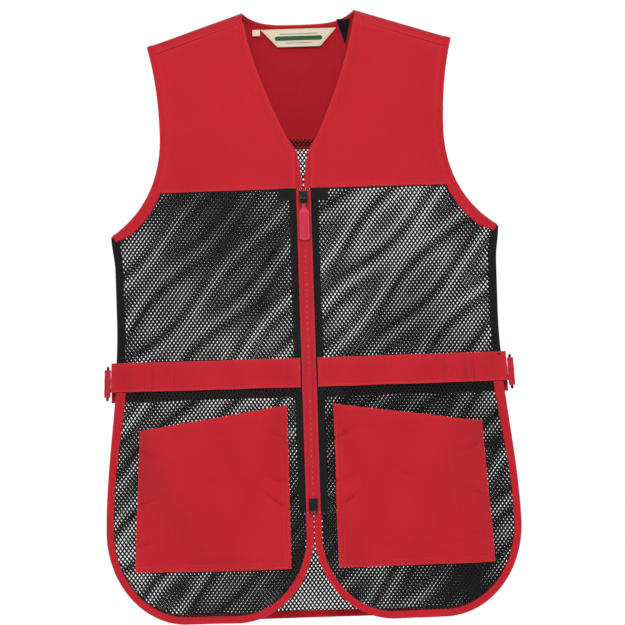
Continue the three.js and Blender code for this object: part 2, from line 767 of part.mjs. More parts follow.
const sliderZ = -frontYokeDrop - 3 - sliderLength / 2;
const pinZ = sliderZ - lugDrop;
piece('zip_slider', slider(sliderZ, 1), 'blackMetal');
piece('zip_link', wireFrame(wireFrameWidth, linkLength, pinY, pinZ), 'blackMetal');

const pullTop = pinZ - linkLength;
const pullThick = 1.8;
const neckHeight = 5;
const padTop = pullTop - 5.5;
const pull = join(
  cut(rodAlongX(eyeOuter, neckHeight, pinY, pullTop), rodAlongX(eyeInner, 2 * neckHeight, pinY, pullTop)),
  box(4.6, pullThick, neckHeight, 0, pinY, padTop + 1.4),
  box(pullWidth, pullThick, pullLength, 0, pinY, padTop - pullLength / 2),
);
piece('zip_pull', pull, 'softPull');

const lowerZ = -zipEnd + 2 + sliderLength / 2;
piece('lower_slider', slider(lowerZ, -1), 'blackMetal');
piece('lower_pull', wireFrame(wireFrameWidth, lowerPullLength, pinY, lowerZ + lugDrop), 'blackMetal');

export default vest;
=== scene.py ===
import math

import bpy
import numpy as np
from mathutils import Matrix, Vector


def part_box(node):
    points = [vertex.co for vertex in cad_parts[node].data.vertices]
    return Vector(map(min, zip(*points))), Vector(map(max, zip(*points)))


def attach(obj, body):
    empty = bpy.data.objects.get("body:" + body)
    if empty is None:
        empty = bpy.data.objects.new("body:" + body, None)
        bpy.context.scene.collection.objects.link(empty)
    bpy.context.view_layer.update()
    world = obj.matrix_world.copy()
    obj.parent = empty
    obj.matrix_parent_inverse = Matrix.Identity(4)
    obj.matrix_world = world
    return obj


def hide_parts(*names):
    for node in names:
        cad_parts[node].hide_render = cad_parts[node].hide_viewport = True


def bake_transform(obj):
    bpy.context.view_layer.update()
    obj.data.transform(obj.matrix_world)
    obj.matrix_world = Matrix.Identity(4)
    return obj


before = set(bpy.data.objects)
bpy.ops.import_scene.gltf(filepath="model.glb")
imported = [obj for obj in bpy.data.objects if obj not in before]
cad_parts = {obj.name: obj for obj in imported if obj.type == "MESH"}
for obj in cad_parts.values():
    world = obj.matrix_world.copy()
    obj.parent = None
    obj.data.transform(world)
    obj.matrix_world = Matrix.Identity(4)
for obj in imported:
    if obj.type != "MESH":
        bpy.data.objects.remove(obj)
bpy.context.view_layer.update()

# ---- Camera, light and floor ----
# A long lens looks level at the front of the hanging vest. Large soft lamps stand in front, the surroundings
# are white, and a small pale floor lies below the hem.
camera_lean = math.radians(1.82)
camera_data = bpy.data.cameras.new("camera")
camera_data.sensor_width = 36
camera_data.lens = 368.75
camera = bpy.data.objects.new("camera", camera_data)
to_right = (math.cos(camera_lean), 0, -math.sin(camera_lean))
to_top = (math.sin(camera_lean), 0, math.cos(camera_lean))
to_back = (0, -1, 0)
camera_turn = Matrix((to_right, to_top, to_back)).transposed().to_4x4()
camera.matrix_world = Matrix.Translation((0.0066, -8.09, -0.3635)) @ camera_turn
bpy.context.scene.collection.objects.link(camera)
bpy.context.scene.camera = camera


def soft_lamp(name, place, aim, width, power):
    """A square lamp at place, turned so that its face looks at aim."""
    lamp = bpy.data.lights.new(name, "AREA")
    lamp.size = width
    lamp.energy = power
    stand = bpy.data.objects.new(name, lamp)
    back = Matrix.Translation(place).to_translation() - Matrix.Translation(aim).to_translation()
    stand.matrix_world = Matrix.Translation(place) @ back.to_track_quat("Z", "Y").to_matrix().to_4x4()
    bpy.context.scene.collection.objects.link(stand)


middle_of_vest = (0, 0, -0.36)
soft_lamp("lamp_left", (-1.6, -1.9, 0.9), middle_of_vest, 1.2, 7)
soft_lamp("lamp_right", (1.7, -2.2, 0.1), middle_of_vest, 1.5, 5)
soft_lamp("lamp_front", (0.0, -3.0, 0.75), middle_of_vest, 1.0, 54)
soft_lamp("lamp_behind", (0.4, 2.0, 1.0), middle_of_vest, 1.3, 24)

surroundings = bpy.data.worlds.new("surroundings")
surroundings.use_nodes = True
ground_light = surroundings.node_tree.nodes["Background"]
ground_light.inputs["Color"].default_value = (1, 1, 1, 1)
ground_light.inputs["Strength"].default_value = 0.56
seen_light = surroundings.node_tree.nodes.new("ShaderNodeBackground")
seen_light.inputs["Strength"].default_value = 1.0
seen_light.inputs["Color"].default_value = (1, 1, 1, 1)
ray_kind = surroundings.node_tree.nodes.new("ShaderNodeLightPath")
either_light = surroundings.node_tree.nodes.new("ShaderNodeMixShader")
surroundings.node_tree.links.new(ray_kind.outputs["Is Camera Ray"], either_light.inputs["Fac"])
surroundings.node_tree.links.new(ground_light.outputs[0], either_light.inputs[1])
surroundings.node_tree.links.new(seen_light.outputs[0], either_light.inputs[2])
surroundings.node_tree.links.new(either_light.outputs[0],
                                 surroundings.node_tree.nodes["World Output"].inputs["Surface"])
bpy.context.scene.world = surroundings
bpy.context.scene.view_settings.view_transform = "Standard"

floor_turns = np.linspace(0, 2 * math.pi, 65)[:-1]
floor_rim = np.stack([0.62 * np.cos(floor_turns), 0.62 * np.sin(floor_turns), np.full(64, -0.86)], axis=1)
floor_mesh = bpy.data.meshes.new("floor")
floor_mesh.from_pydata(floor_rim.tolist(), [], [list(range(64))])
floor = bpy.data.objects.new("floor", floor_mesh)
bpy.context.scene.collection.objects.link(floor)
floor_paint = bpy.data.materials.new("floor_paint")
floor_paint.use_nodes = True
floor_shader = floor_paint.node_tree.nodes["Principled BSDF"]
floor_shader.inputs["Base Color"].default_value = (0.82, 0.81, 0.79, 1)
floor_shader.inputs["Roughness"].default_value = 0.8
floor_mesh.materials.append(floor_paint)

# ---- Back yoke ----
# One cut of matt crimson cloth: it covers the upper back, folds over both shoulders and ends in a felled seam on
# the front. The vest's hanging form, the cloth's finish and its thread are set here, because this cut comes first.
FRONT, BACK = -1, 1
LEFT, RIGHT = 1, -1
SIDES = ((LEFT, "left"), (RIGHT, "right"))
vest_length = 0.764
pit_half, waist_half, hem_half = 0.244, 0.240, 0.263
front_depth, back_depth, shoulder_round = 0.052, 0.054, 0.150
neck_half, back_neck_drop = 0.0704, 0.015
tip_half, tip_drop, chest_half, pit_drop = 0.1905, 0.0393, 0.1773, 0.275
shoulder_seam_drop, back_yoke_drop, front_yoke_drop = 0.012, 0.172, 0.223
cloth_thick, seam_gap, seam_inset = 0.0012, 0.0003, 0.0022
binding_width, neck_band_width = 0.0085, 0.006
belt_top, belt_width = 0.4345, 0.037
vent_top = belt_top + belt_width
outer_corner_x, outer_corner_drop = 0.163, 0.650
inner_corner_x, inner_corner_drop = 0.100, 0.655
outward_of = {FRONT: np.array([0, -1.0, 0]), BACK: np.array([0, 1.0, 0])}


def smooth(value, low, high):
    """A soft step from 0 at low to 1 at high, flat at both ends."""
    t = np.clip((value - low) / (high - low), 0, 1)
    return t * t * (3 - 2 * t)


def lerp(a, b, t):
    """The point a share t of the way from a to b."""
    return a + (b - a) * t


def shoulder_z(x):
    """Height of the straight shoulder line, from the neck point down to the tip."""
    return -tip_drop / (tip_half - neck_half) * (np.abs(x) - neck_half)


def side_x(z):
    """Half width at a height: level at the chest, drawn in at the waist and flared to the hem."""
    waist = smooth(-z, pit_drop, pit_drop + 0.045)
    flare = smooth(-z, vent_top - 0.09, outer_corner_drop + 0.01)
    return pit_half + (waist_half - pit_half) * waist + (hem_half - waist_half) * flare


def cloth_folds(x, z, face):
    """Height of the soft folds: slanting waves, still at the side seams, the zip, the belt and the shoulders."""
    turn = 2 * math.pi
    if face == FRONT:
        waves = (np.sin(turn * (x / 0.150 + z / 0.210) + 0.6) + 0.7 * np.sin(turn * (x / 0.083 - z / 0.190) + 2.0)
                 + 0.4 * np.sin(turn * (x / 0.051 + z / 0.120) + 4.0))
    else:
        waves = (np.sin(turn * (x / 0.190 - z / 0.270) + 1.9) + 0.6 * np.sin(turn * (x / 0.072 + z / 0.410) + 0.3)
                 + 0.5 * np.sin(turn * (x / 0.118 + z / 0.160) + 3.1))
    below = np.maximum(0, shoulder_z(x) - z)
    still = 1 - np.minimum(1, np.abs(x) / side_x(z)) ** 6
    still = still * smooth(below, 0.01, 0.12)
    still = still * (1 - 0.99 * np.exp(-(x / 0.030) ** 4)) * (1 - 0.6 * np.exp(-((z + 0.453) / 0.035) ** 2))
    size = lerp(0.0009 if face == FRONT else 0.0019, 0.0024, smooth(-z, 0.19, 0.30))
    return size * waves * still


def hang(x, z, face):
    """A point of the hanging vest: a lens in plan, drawn in over the shoulder line as a rounded fold, plus the
    soft folds; heights count from the neck points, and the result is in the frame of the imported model."""
    below = np.maximum(0, shoulder_z(x) - z)
    rise = 1 - np.minimum(below, shoulder_round) / shoulder_round
    lens = 1 - (x / side_x(z)) ** 2
    depth = front_depth if face == FRONT else back_depth
    y = face * (depth * lens * np.sqrt(1 - rise * rise) + cloth_folds(x, z, face))
    return np.stack(np.broadcast_arrays(x, y - nape_y, z + back_neck_drop), axis=-1)


nape_rise = 1 - back_neck_drop / shoulder_round - tip_drop / (tip_half - neck_half) * neck_half / shoulder_round
nape_y = back_depth * math.sqrt(1 - nape_rise * nape_rise)


def new_piece(name, points, faces, flat_place=None, rim=None):
    """A mesh object from arrays of points and faces, with a UV map in metres and the 'rim' attribute, which is 1 on
    the edges of the cloth and fades inwards."""
    mesh = bpy.data.meshes.new(name)
    mesh.from_pydata(points.tolist(), [], [f.tolist() if hasattr(f, "tolist") else f for f in faces])
    if flat_place is not None:
        corners = np.empty(len(mesh.loops), dtype=np.int32)
        mesh.loops.foreach_get("vertex_index", corners)
        layer = mesh.uv_layers.new(name="cut")
        layer.data.foreach_set("uv", flat_place[corners].astype(np.float32).ravel())
    if rim is not None:
        mesh.attributes.new("rim", "FLOAT", "POINT").data.foreach_set("value", rim.astype(np.float32))
    mesh.shade_smooth()
    mesh.set_sharp_from_angle(angle=math.radians(48))
    piece = bpy.data.objects.new(name, mesh)
    bpy.context.scene.collection.objects.link(piece)
    return piece


def walled(quads, count):
    """Faces of a closed slab from its outer faces: the same faces turned over on the inner side, count points on,
    and a wall along every edge that a single outer face uses."""
    edges = np.concatenate([quads[:, [k, (k + 1) % 4]] for k in range(4)])
    key = np.sort(edges, axis=1) @ np.array([count, 1])
    first, uses = np.unique(key, return_index=True, return_counts=True)[1:]
    rim = edges[first[uses == 1]]
    walls = np.column_stack([rim[:, 1], rim[:, 0], rim[:, 0] + count, rim[:, 1] + count])
    return np.concatenate([quads, quads[:, ::-1] + count, walls])


def surface_normals(grid, outward):
    """Unit normals of a grid of points, down crossed with across, and whether they had to be turned outwards."""
    normal = np.cross(np.gradient(grid, axis=0), np.gradient(grid, axis=1))
    normal /= np.linalg.norm(normal, axis=2, keepdims=True) + 1e-15
    turned = (normal[grid.shape[0] // 2, grid.shape[1] // 2] * outward).sum() < 0
    return (-normal if turned else normal), turned


def cloth_cut(name, grid, thick, outward, lift=0.0, keep=None):
    """A closed cut of cloth: the grid moved along its normals by lift plus or minus half the thickness. keep says
    which cells of the grid there are."""
    rows, cols = grid.shape[:2]
    normal, turned = surface_normals(grid, outward)
    number = np.arange(rows * cols).reshape(rows, cols)
    quads = np.stack([number[:-1, :-1], number[1:, :-1], number[1:, 1:], number[:-1, 1:]], axis=-1)
    quads = quads.reshape(-1, 4) if keep is None else quads[keep]
    quads = quads[:, ::-1] if turned else quads
    points = np.concatenate([(grid + normal * (lift + thick / 2)).reshape(-1, 3),
                             (grid + normal * (lift - thick / 2)).reshape(-1, 3)])
    across = np.zeros((rows, cols))
    across[:, 1:] = np.cumsum(np.linalg.norm(np.diff(grid, axis=1), axis=2), axis=1)
    down = np.zeros((rows, cols))
    down[1:] = np.cumsum(np.linalg.norm(np.diff(grid, axis=0), axis=2), axis=0)
    to_edge = np.minimum(np.minimum(across, across[:, -1:] - across), np.minimum(down, down[-1:] - down))
    rim = np.exp(-to_edge / 0.003)
    flat_place = np.stack([across, down], axis=-1).reshape(-1, 2)
    faces = walled(quads, rows * cols)
    used = np.unique(faces)
    renumber = np.zeros(2 * rows * cols, dtype=int)
    renumber[used] = np.arange(len(used))
    return new_piece(name, points[used], renumber[faces], np.tile(flat_place, (2, 1))[used],
                     np.tile(rim.ravel(), 2)[used])


def unit(vectors):
    """The vectors at length 1."""
    return vectors / np.linalg.norm(vectors, axis=-1, keepdims=True)


def path_length(path):
    """Distances along a run of points, from its first point to each."""
    return np.concatenate([[0], np.cumsum(np.linalg.norm(np.diff(path, axis=0), axis=1))])


def even_path(path, step):
    """Points at even steps along a run of points, with the unit directions there."""
    length = path_length(path)
    count = max(2, int(length[-1] / step))
    at = (np.arange(count) + 0.5) / count * length[-1]
    points = np.stack([np.interp(at, length, path[:, k]) for k in range(3)], axis=1)
    next_at = np.minimum(at + step / 2, length[-1])
    way = np.stack([np.interp(next_at, length, path[:, k]) for k in range(3)], axis=1) - points
    return points, way / (np.linalg.norm(way, axis=1, keepdims=True) + 1e-15)


def diamonds(middle, way, normal, half_length, half_width, up, down):
    """Slim eight-sided beads: each has two ends along way, two sides and a top and bottom along normal."""
    beside = np.cross(normal, way)
    corners = np.stack([middle - way * half_length, middle + beside * half_width, middle + way * half_length,
                        middle - beside * half_width, middle + normal * up, middle - normal * down], axis=1)
    bead = np.array([[0, 3, 4], [3, 2, 4], [2, 1, 4], [1, 0, 4], [3, 0, 5], [2, 3, 5], [1, 2, 5], [0, 1, 5]])
    return corners.reshape(-1, 3), (bead[None] + 6 * np.arange(len(middle))[:, None, None]).reshape(-1, 3)


def sewn(piece, finish, slot, body, *stands_for, span=None):
    """The piece gets its finish and hides the CAD nodes that it stands for; slot is not used. Without span it rides
    on its body. With span, a pair of heights, body is a pair too; neither is used, and the piece's place is baked
    into its points."""
    piece.data.materials.append(finish)
    if stands_for:
        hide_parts(*stands_for)
    if span is None:
        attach(piece, body)
    else:
        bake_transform(piece)
    return piece


stitch_pitch, bead_half_length, bead_half_width, bead_up, bead_down = 0.0031, 0.00125, 0.00032, 0.0003, 0.0002


def stitch_row(name, paths, outward, lift, finish, slot, body, span=None):
    """A row of lock stitches: a bead of thread every 3.1 mm along each path, lying on the cloth at lift. Body and
    span are as for sewn."""
    stitch_points, stitch_faces = [], []
    total = 0
    for path in paths:
        middle, way = even_path(path, stitch_pitch)
        normal = unit(outward - way * (way @ outward)[:, None])
        points, faces = diamonds(middle + normal * lift, way, normal, bead_half_length, bead_half_width, bead_up,
                                 bead_down)
        stitch_points.append(points)
        stitch_faces.append(faces + total)
        total += len(points)
    row = new_piece(name, np.concatenate(stitch_points), np.concatenate(stitch_faces))
    return sewn(row, finish, slot, body, span=span)


def node_paint(name):
    """A new material and the means to add a node with its settings and to link two sockets."""
    material = bpy.data.materials.new(name)
    material.use_nodes = True
    tree = material.node_tree

    def add(kind, inputs=(), **settings):
        node = tree.nodes.new(kind)
        for key, value in settings.items():
            setattr(node, key, value)
        for key, value in dict(inputs).items():
            node.inputs[key].default_value = value
        return node

    return material, tree.nodes["Principled BSDF"], add, tree.links.new


def socket(sockets, name):
    """The colour socket of that name on a mixing node."""
    return [s for s in sockets if s.name == name and s.type == "RGBA"][0]


def dye_mix(add, deep, light):
    """A mix of two dyes, from deep to light; what drives its factor is linked later."""
    dye = add("ShaderNodeMix", data_type="RGBA")
    socket(dye.inputs, "A").default_value = (*deep, 1)
    socket(dye.inputs, "B").default_value = (*light, 1)
    return dye


def woven_finish(name, deep, light, worn, thread=0.00075, rough=(0.78, 0.95), sheen=0.06, rib=1.0):
    """Woven cloth. Two crossed runs of threads, across and down the cut, raise the bump; broad and fine noise shade
    the dye from deep to light; the rim of each cut is rubbed towards worn."""
    material, shader, add, link = node_paint(name)
    place = add("ShaderNodeTexCoord")
    thread_scale = 2 * math.pi / 20 / thread
    warp = add("ShaderNodeTexWave", {"Scale": thread_scale, "Distortion": 0.6, "Detail Scale": 3.0},
               bands_direction="X")
    weft = add("ShaderNodeTexWave", {"Scale": thread_scale * rib, "Distortion": 0.6}, bands_direction="Z")
    threads = add("ShaderNodeMix", {"Factor": 0.5}, data_type="FLOAT")
    slub = add("ShaderNodeTexNoise", {"Scale": 900.0, "Detail": 2.0})
    cloud = add("ShaderNodeTexNoise", {"Scale": 11.0, "Detail": 5.0, "Roughness": 0.6})
    dye = dye_mix(add, deep, light)
    grain = add("ShaderNodeMix", {"Factor": 1.0}, data_type="RGBA", blend_type="MULTIPLY")
    rub = add("ShaderNodeAttribute", attribute_name="rim")
    rubbed = add("ShaderNodeMath", {1: 0.35}, operation="MULTIPLY")
    worn_mix = add("ShaderNodeMix", data_type="RGBA")
    socket(worn_mix.inputs, "B").default_value = (*worn, 1)
    gloss = add("ShaderNodeMapRange", {"To Min": rough[0], "To Max": rough[1]})
    bump = add("ShaderNodeBump", {"Strength": 0.55, "Distance": 0.0004})
    crinkle = add("ShaderNodeTexNoise", {"Scale": 60.0, "Detail": 4.0, "Roughness": 0.55})
    soft_bump = add("ShaderNodeBump", {"Strength": 0.35, "Distance": 0.0016})
    for node in (warp, weft, slub, cloud, crinkle):
        link(place.outputs["Object"], node.inputs["Vector"])
    link(warp.outputs["Fac"], threads.inputs["A"])
    link(weft.outputs["Fac"], threads.inputs["B"])
    link(cloud.outputs["Fac"], dye.inputs["Factor"])
    shade = add("ShaderNodeMapRange", {"To Min": 0.88, "To Max": 1.06})
    link(slub.outputs["Fac"], shade.inputs["Value"])
    link(socket(dye.outputs, "Result"), socket(grain.inputs, "A"))
    link(shade.outputs["Result"], socket(grain.inputs, "B"))
    link(rub.outputs["Fac"], rubbed.inputs[0])
    link(rubbed.outputs[0], worn_mix.inputs["Factor"])
    link(socket(grain.outputs, "Result"), socket(worn_mix.inputs, "A"))
    link(socket(worn_mix.outputs, "Result"), shader.inputs["Base Color"])
    link(cloud.outputs["Fac"], gloss.inputs["Value"])
    link(gloss.outputs["Result"], shader.inputs["Roughness"])
    link(threads.outputs["Result"], bump.inputs["Height"])
    link(crinkle.outputs["Fac"], soft_bump.inputs["Height"])
    link(soft_bump.outputs["Normal"], bump.inputs["Normal"])
    link(bump.outputs["Normal"], shader.inputs["Normal"])
    shader.inputs["Sheen Weight"].default_value = sheen
    shader.inputs["Sheen Roughness"].default_value = 0.5
    shader.inputs["Specular IOR Level"].default_value = 0.12
    return material


red_cloth = woven_finish("red_cloth", (0.44, 0.011, 0.020), (0.56, 0.017, 0.029), (0.62, 0.035, 0.045))
red_thread = woven_finish("red_thread", (0.40, 0.016, 0.028), (0.62, 0.04, 0.055), (0.62, 0.04, 0.055),
                          thread=0.0004, sheen=0.4)


def armhole_edge(inset, count=241):
    """Points (x, z) from the shoulder tip to the side seam: a quarter curve down to the chest, then an S curve to
    the pit, at even steps and moved inwards by the inset."""
    t = np.linspace(0, 1, 400)[:, None]
    pit_x = pit_half - seam_inset
    tip, bend = np.array([tip_half, -tip_drop]), np.array([chest_half, -tip_drop - 0.050])
    chest, turn = np.array([chest_half, -tip_drop - 0.112]), np.array([chest_half, 0.063 - pit_drop])
    sweep, pit = np.array([lerp(chest_half, pit_x, 0.45), 0.022 - pit_drop]), np.array([pit_x, -pit_drop])
    upper = (1 - t) ** 2 * tip + 2 * t * (1 - t) * bend + t ** 2 * chest
    lower = (1 - t) ** 3 * chest + 3 * t * (1 - t) ** 2 * turn + 3 * t ** 2 * (1 - t) * sweep + t ** 3 * pit
    line = np.concatenate([upper, lower[1:]])
    length = path_length(line)
    at = np.linspace(0, length[-1], count)
    line = np.stack([np.interp(at, length, line[:, k]) for k in range(2)], axis=1)
    way = unit(np.gradient(line, axis=0))
    return line + np.stack([way[:, 1], -way[:, 0]], axis=1) * inset


def x_at(line, z):
    """Half width of a falling line of points at a height."""
    return np.interp(-z, -line[:, 1], line[:, 0])


def x_below(line, below):
    """Half width of a line of points at a depth below the shoulder line."""
    x = np.full(np.shape(below), tip_half)
    for _ in range(8):
        x = x_at(line, np.minimum(shoulder_z(x) - below, line[0, 1]))
    return x


def back_neck_z(x):
    """Height of the back neck edge: level in the middle and rising to the neck points."""
    return -back_neck_drop * (1 - np.minimum(1, np.abs(x) / neck_half) ** 4)


yoke_edge = armhole_edge(0.0072)
yoke_cols, yoke_neck_cols, yoke_flap_rows, yoke_back_rows = 56, 24, 8, 44
neck_share = yoke_neck_cols / yoke_cols
share = np.arange(-yoke_cols, yoke_cols + 1) / yoke_cols


def yoke_x(edge):
    """Half widths of the yoke's columns: even up to the neck point, then even up to the edge of the armhole."""
    size = np.abs(share)
    outer = neck_half + (edge - neck_half) * (size - neck_share) / (1 - neck_share)
    return np.sign(share) * np.where(size <= neck_share, size / neck_share * neck_half, outer)


flap_below = shoulder_seam_drop * (1 - np.arange(yoke_flap_rows) / yoke_flap_rows)[:, None] ** 2
flap_x = yoke_x(x_below(yoke_edge, flap_below))
flap = hang(flap_x, shoulder_z(flap_x) - flap_below, FRONT)
guess_x = yoke_x(yoke_edge[0, 0])
yoke_top = np.where(np.abs(share) < neck_share, back_neck_z(guess_x) - 0.0050, shoulder_z(guess_x))
fall = (np.arange(yoke_back_rows + 1) / yoke_back_rows)[:, None] ** 1.7
yoke_z = lerp(yoke_top, -back_yoke_drop, fall)
yoke_back_x = yoke_x(x_at(yoke_edge, np.minimum(yoke_z, yoke_edge[0, 1])))
yoke_grid = np.concatenate([flap, hang(yoke_back_x, np.minimum(yoke_z, shoulder_z(yoke_back_x)), BACK)])
cell_row = np.arange(yoke_grid.shape[0] - 1)[:, None]
cell_col = np.arange(yoke_grid.shape[1] - 1)[None]
beside_neck = (cell_col < yoke_cols - yoke_neck_cols) | (cell_col >= yoke_cols + yoke_neck_cols)
back_yoke = cloth_cut("yoke_over_back", yoke_grid, cloth_thick, outward_of[BACK],
                      keep=(cell_row >= yoke_flap_rows) | beside_neck)
sewn(back_yoke, red_cloth, "red_cloth", "back", "back_yoke")

# The yoke's seams: a double row of stitches along the shoulder seam and along the seam to the mesh, and the cloth's
# own allowance inside the shoulder seam, out to the tip.
def cloth_row(from_x, to_x, z, face, count=60):
    """Points of the hanging cloth from one half width to another, at a height or a run of heights."""
    x = np.linspace(from_x, to_x, count)
    return hang(x, np.broadcast_to(z, x.shape), face)


shoulder_runs = []
for side in (LEFT, RIGHT):
    for back_from_edge in (0.0018, 0.0052):
        seam_x = np.linspace(neck_half + 0.003, x_below(yoke_edge, np.array(shoulder_seam_drop)) - 0.002, 40)
        shoulder_runs.append(hang(side * seam_x, shoulder_z(seam_x) - shoulder_seam_drop + back_from_edge, FRONT))
stitch_row("shoulder_seam_stitches", shoulder_runs, outward_of[FRONT], cloth_thick / 2, red_thread, "red_cloth",
           "back")
for side, word in SIDES:
    allowance_below = np.linspace(0.0065, 0.0175, 7)[:, None]
    outer_x = x_below(yoke_edge, allowance_below) + 0.004
    allowance_x = lerp(neck_half + 0.029, outer_x, np.linspace(0, 1, 30)[None])
    allowance = cloth_cut(f"shoulder_allowance_{word}",
                          hang(side * allowance_x, shoulder_z(allowance_x) - allowance_below, FRONT),
                          0.0006, outward_of[FRONT], lift=-0.0012)
    sewn(allowance, red_cloth, "red_cloth", "back")
yoke_low_x = float(x_at(yoke_edge, -back_yoke_drop)) - 0.003
stitch_row("back_yoke_stitches",
           [cloth_row(-yoke_low_x, yoke_low_x, -back_yoke_drop + up, BACK) for up in (0.002, 0.0055)],
           outward_of[BACK], cloth_thick / 2, red_thread, "red_cloth", "back")

# ---- Mesh of the back ----
# A knitted polyester net in black with diamond holes in staggered rows, one piece from the yoke seam to the hem. Its
# top and sides are caught in the seams and its lower edge in the binding.
hole_pitch, row_pitch = 0.0050, 0.0035


def hem_half_width(z, inset):
    """Half width of the body's cloth at a height, inside the side seams, the vents and the rounded hem corners."""
    side = side_x(z) - seam_inset - np.where(z < -vent_top, inset, 0)
    fall = np.clip((-z - outer_corner_drop) / (vest_length - outer_corner_drop - inset), 0, 1)
    reach = side_x(-outer_corner_drop) - seam_inset - inset - outer_corner_x
    corner = outer_corner_x + reach * np.sqrt(1 - fall * fall)
    return np.where(-z > outer_corner_drop, np.minimum(side, corner), side)


def front_edge_x(z, inset):
    """Half width of the front's inner edge at a height: along the zip, then round the inner corner of the hem."""
    fall = np.clip((-z - inner_corner_drop) / (vest_length - inner_corner_drop - inset), 0, 1)
    curved = inner_corner_x - (inner_corner_x - 0.0008 - inset) * np.sqrt(1 - fall * fall)
    return np.where(-z > inner_corner_drop, np.maximum(0.0093, curved), 0.0093)


def net_openness(x, z, face):
    """Share of a cell's width that its hole takes: about half, more or less in soft clouds, and less near the hem."""
    turn = 2 * math.pi
    clouds = (np.sin(turn * (x / 0.170 + z / 0.260) + 2.4) + np.sin(turn * (x / 0.105 - z / 0.150) + 0.4)
              + 0.6 * np.sin(turn * (x / 0.060 + z / 0.085) + face))
    low = 0.03 * smooth(-z, 0.40, 0.55)
    return np.clip(0.535 - low + 0.025 * clouds, 0.42, 0.66)


def stretched(x, z, face):
    """Where a point of the even knitting lies in the worn net: it slides aside in slanting waves of a few mm."""
    wave = 0.0029 * np.sin(2 * math.pi * (x - z) / 0.118 + 0.8)
    wave = wave if face == FRONT else 0.0012 * np.sin(2 * math.pi * (x + 0.6 * z) / 0.230)
    return x + 0.58 * wave, z + 0.81 * wave


def knitted_net(name, inside, face, lift=0.0):
    """A net as real threads. The cells are diamonds in staggered rows; each has a smaller diamond cut out of it, so
    four flat threads run between the shared corners and the hole. inside(x, z) says which cells there are."""
    rows = np.arange(int(-vest_length / row_pitch) - 2, 2)
    cols = np.arange(-60, 61)
    row, col = [a.ravel() for a in np.meshgrid(rows, cols, indexing="ij")]
    corner_x = 2 * col + row % 2
    x, z = stretched(corner_x * hole_pitch / 2, row * row_pitch, face)
    kept = inside(x, z)
    corner_x, corner_z, x, z = corner_x[kept], row[kept], x[kept], z[kept]
    step = np.array([[0, 1], [1, 0], [0, -1], [-1, 0]])
    rim_x, rim_z = corner_x[:, None] + step[:, 0], corner_z[:, None] + step[:, 1]
    key, number = np.unique(rim_x * 10000 + rim_z, return_inverse=True)
    number = number.reshape(rim_x.shape)
    even_x, even_z = rim_x * hole_pitch / 2, rim_z * row_pitch
    edge_x, edge_z = stretched(even_x, even_z, face)
    shared_x, shared_z = np.zeros(len(key)), np.zeros(len(key))
    shared_x[number], shared_z[number] = edge_x, edge_z
    open_share = net_openness(x, z, face)[:, None]
    hole_x, hole_z = lerp(x[:, None], edge_x, open_share), lerp(z[:, None], edge_z, open_share)
    points = hang(np.concatenate([shared_x, hole_x.ravel()]), np.concatenate([shared_z, hole_z.ravel()]), face)
    points[:, 1] += face * lift
    hole = len(key) + np.arange(hole_x.size).reshape(hole_x.shape)
    after = np.roll(np.arange(4), -1)
    faces = np.stack([number, number[:, after], hole[:, after], hole], axis=-1).reshape(-1, 4)
    faces = faces if face == BACK else faces[:, ::-1]
    return new_piece(name, points, faces, points[:, [0, 2]], np.zeros(len(points)))


def knitted_finish(name, deep, light, rough=(0.42, 0.7)):
    """Knitted polyester: fine ribs of loops along each thread as bump, and a dull filament shine that varies."""
    material, shader, add, link = node_paint(name)
    place = add("ShaderNodeTexCoord")
    loops = add("ShaderNodeTexWave", {"Scale": 2 * math.pi / 20 / 0.0006, "Distortion": 2.0, "Detail": 2.0},
                bands_direction="DIAGONAL")
    cloud = add("ShaderNodeTexNoise", {"Scale": 14.0, "Detail": 4.0})
    dye = dye_mix(add, deep, light)
    gloss = add("ShaderNodeMapRange", {"To Min": rough[0], "To Max": rough[1]})
    bump = add("ShaderNodeBump", {"Strength": 0.6, "Distance": 0.0003})
    link(place.outputs["Object"], loops.inputs["Vector"])
    link(place.outputs["Object"], cloud.inputs["Vector"])
    link(cloud.outputs["Fac"], dye.inputs["Factor"])
    link(cloud.outputs["Fac"], gloss.inputs["Value"])
    link(loops.outputs["Fac"], bump.inputs["Height"])
    link(socket(dye.outputs, "Result"), shader.inputs["Base Color"])
    link(gloss.outputs["Result"], shader.inputs["Roughness"])
    link(bump.outputs["Normal"], shader.inputs["Normal"])
    shader.inputs["Specular IOR Level"].default_value = 0.18
    return material


black_net = knitted_finish("black_net", (0.0025, 0.0025, 0.0026), (0.007, 0.007, 0.007))
net_side = armhole_edge(0.0060)


def inside_back(x, z):
    """Cells of the back's net, from 4 mm above the yoke seam to under the hem binding."""
    width = np.minimum(hem_half_width(z, 0.0055), np.where(z > -pit_drop, x_at(net_side, z), 1.0))
    return (z < -back_yoke_drop + 0.004) & (z > -vest_length + 0.0060) & (np.abs(x) < width - 0.0012)


back_net = knitted_net("net_of_back", inside_back, BACK)
sewn(back_net, black_net, "black_mesh", "back", "back_mesh_panel")


def over_yoke_seam(x, z):
    """Cells of the net's seam allowance, which is turned up inside the back yoke."""
    return (z < -back_yoke_drop + 0.012) & (z > -back_yoke_drop + 0.001) & (np.abs(x) < 0.165)


net_allowance = knitted_net("net_inside_yoke_seam", over_yoke_seam, BACK, lift=-0.0014)
sewn(net_allowance, black_net, "black_mesh", "back")

# ---- Bound edges of the armholes ----
# Bias strips of the crimson cloth, folded over the raw edges of yoke and mesh and stitched through near their inner
# fold. They pucker a little and are fullest round the bottom of the armhole.


def ripple(path, size):
    """Uneven puckers along a bound edge: three waves of 7 to 19 mm, by the distance along the edge."""
    turn = 2 * math.pi * path_length(path)
    return size * (np.sin(turn / 0.0071 + 1) + 0.8 * np.sin(turn / 0.0113 + 2) + 0.7 * np.sin(turn / 0.019)) / 2.5


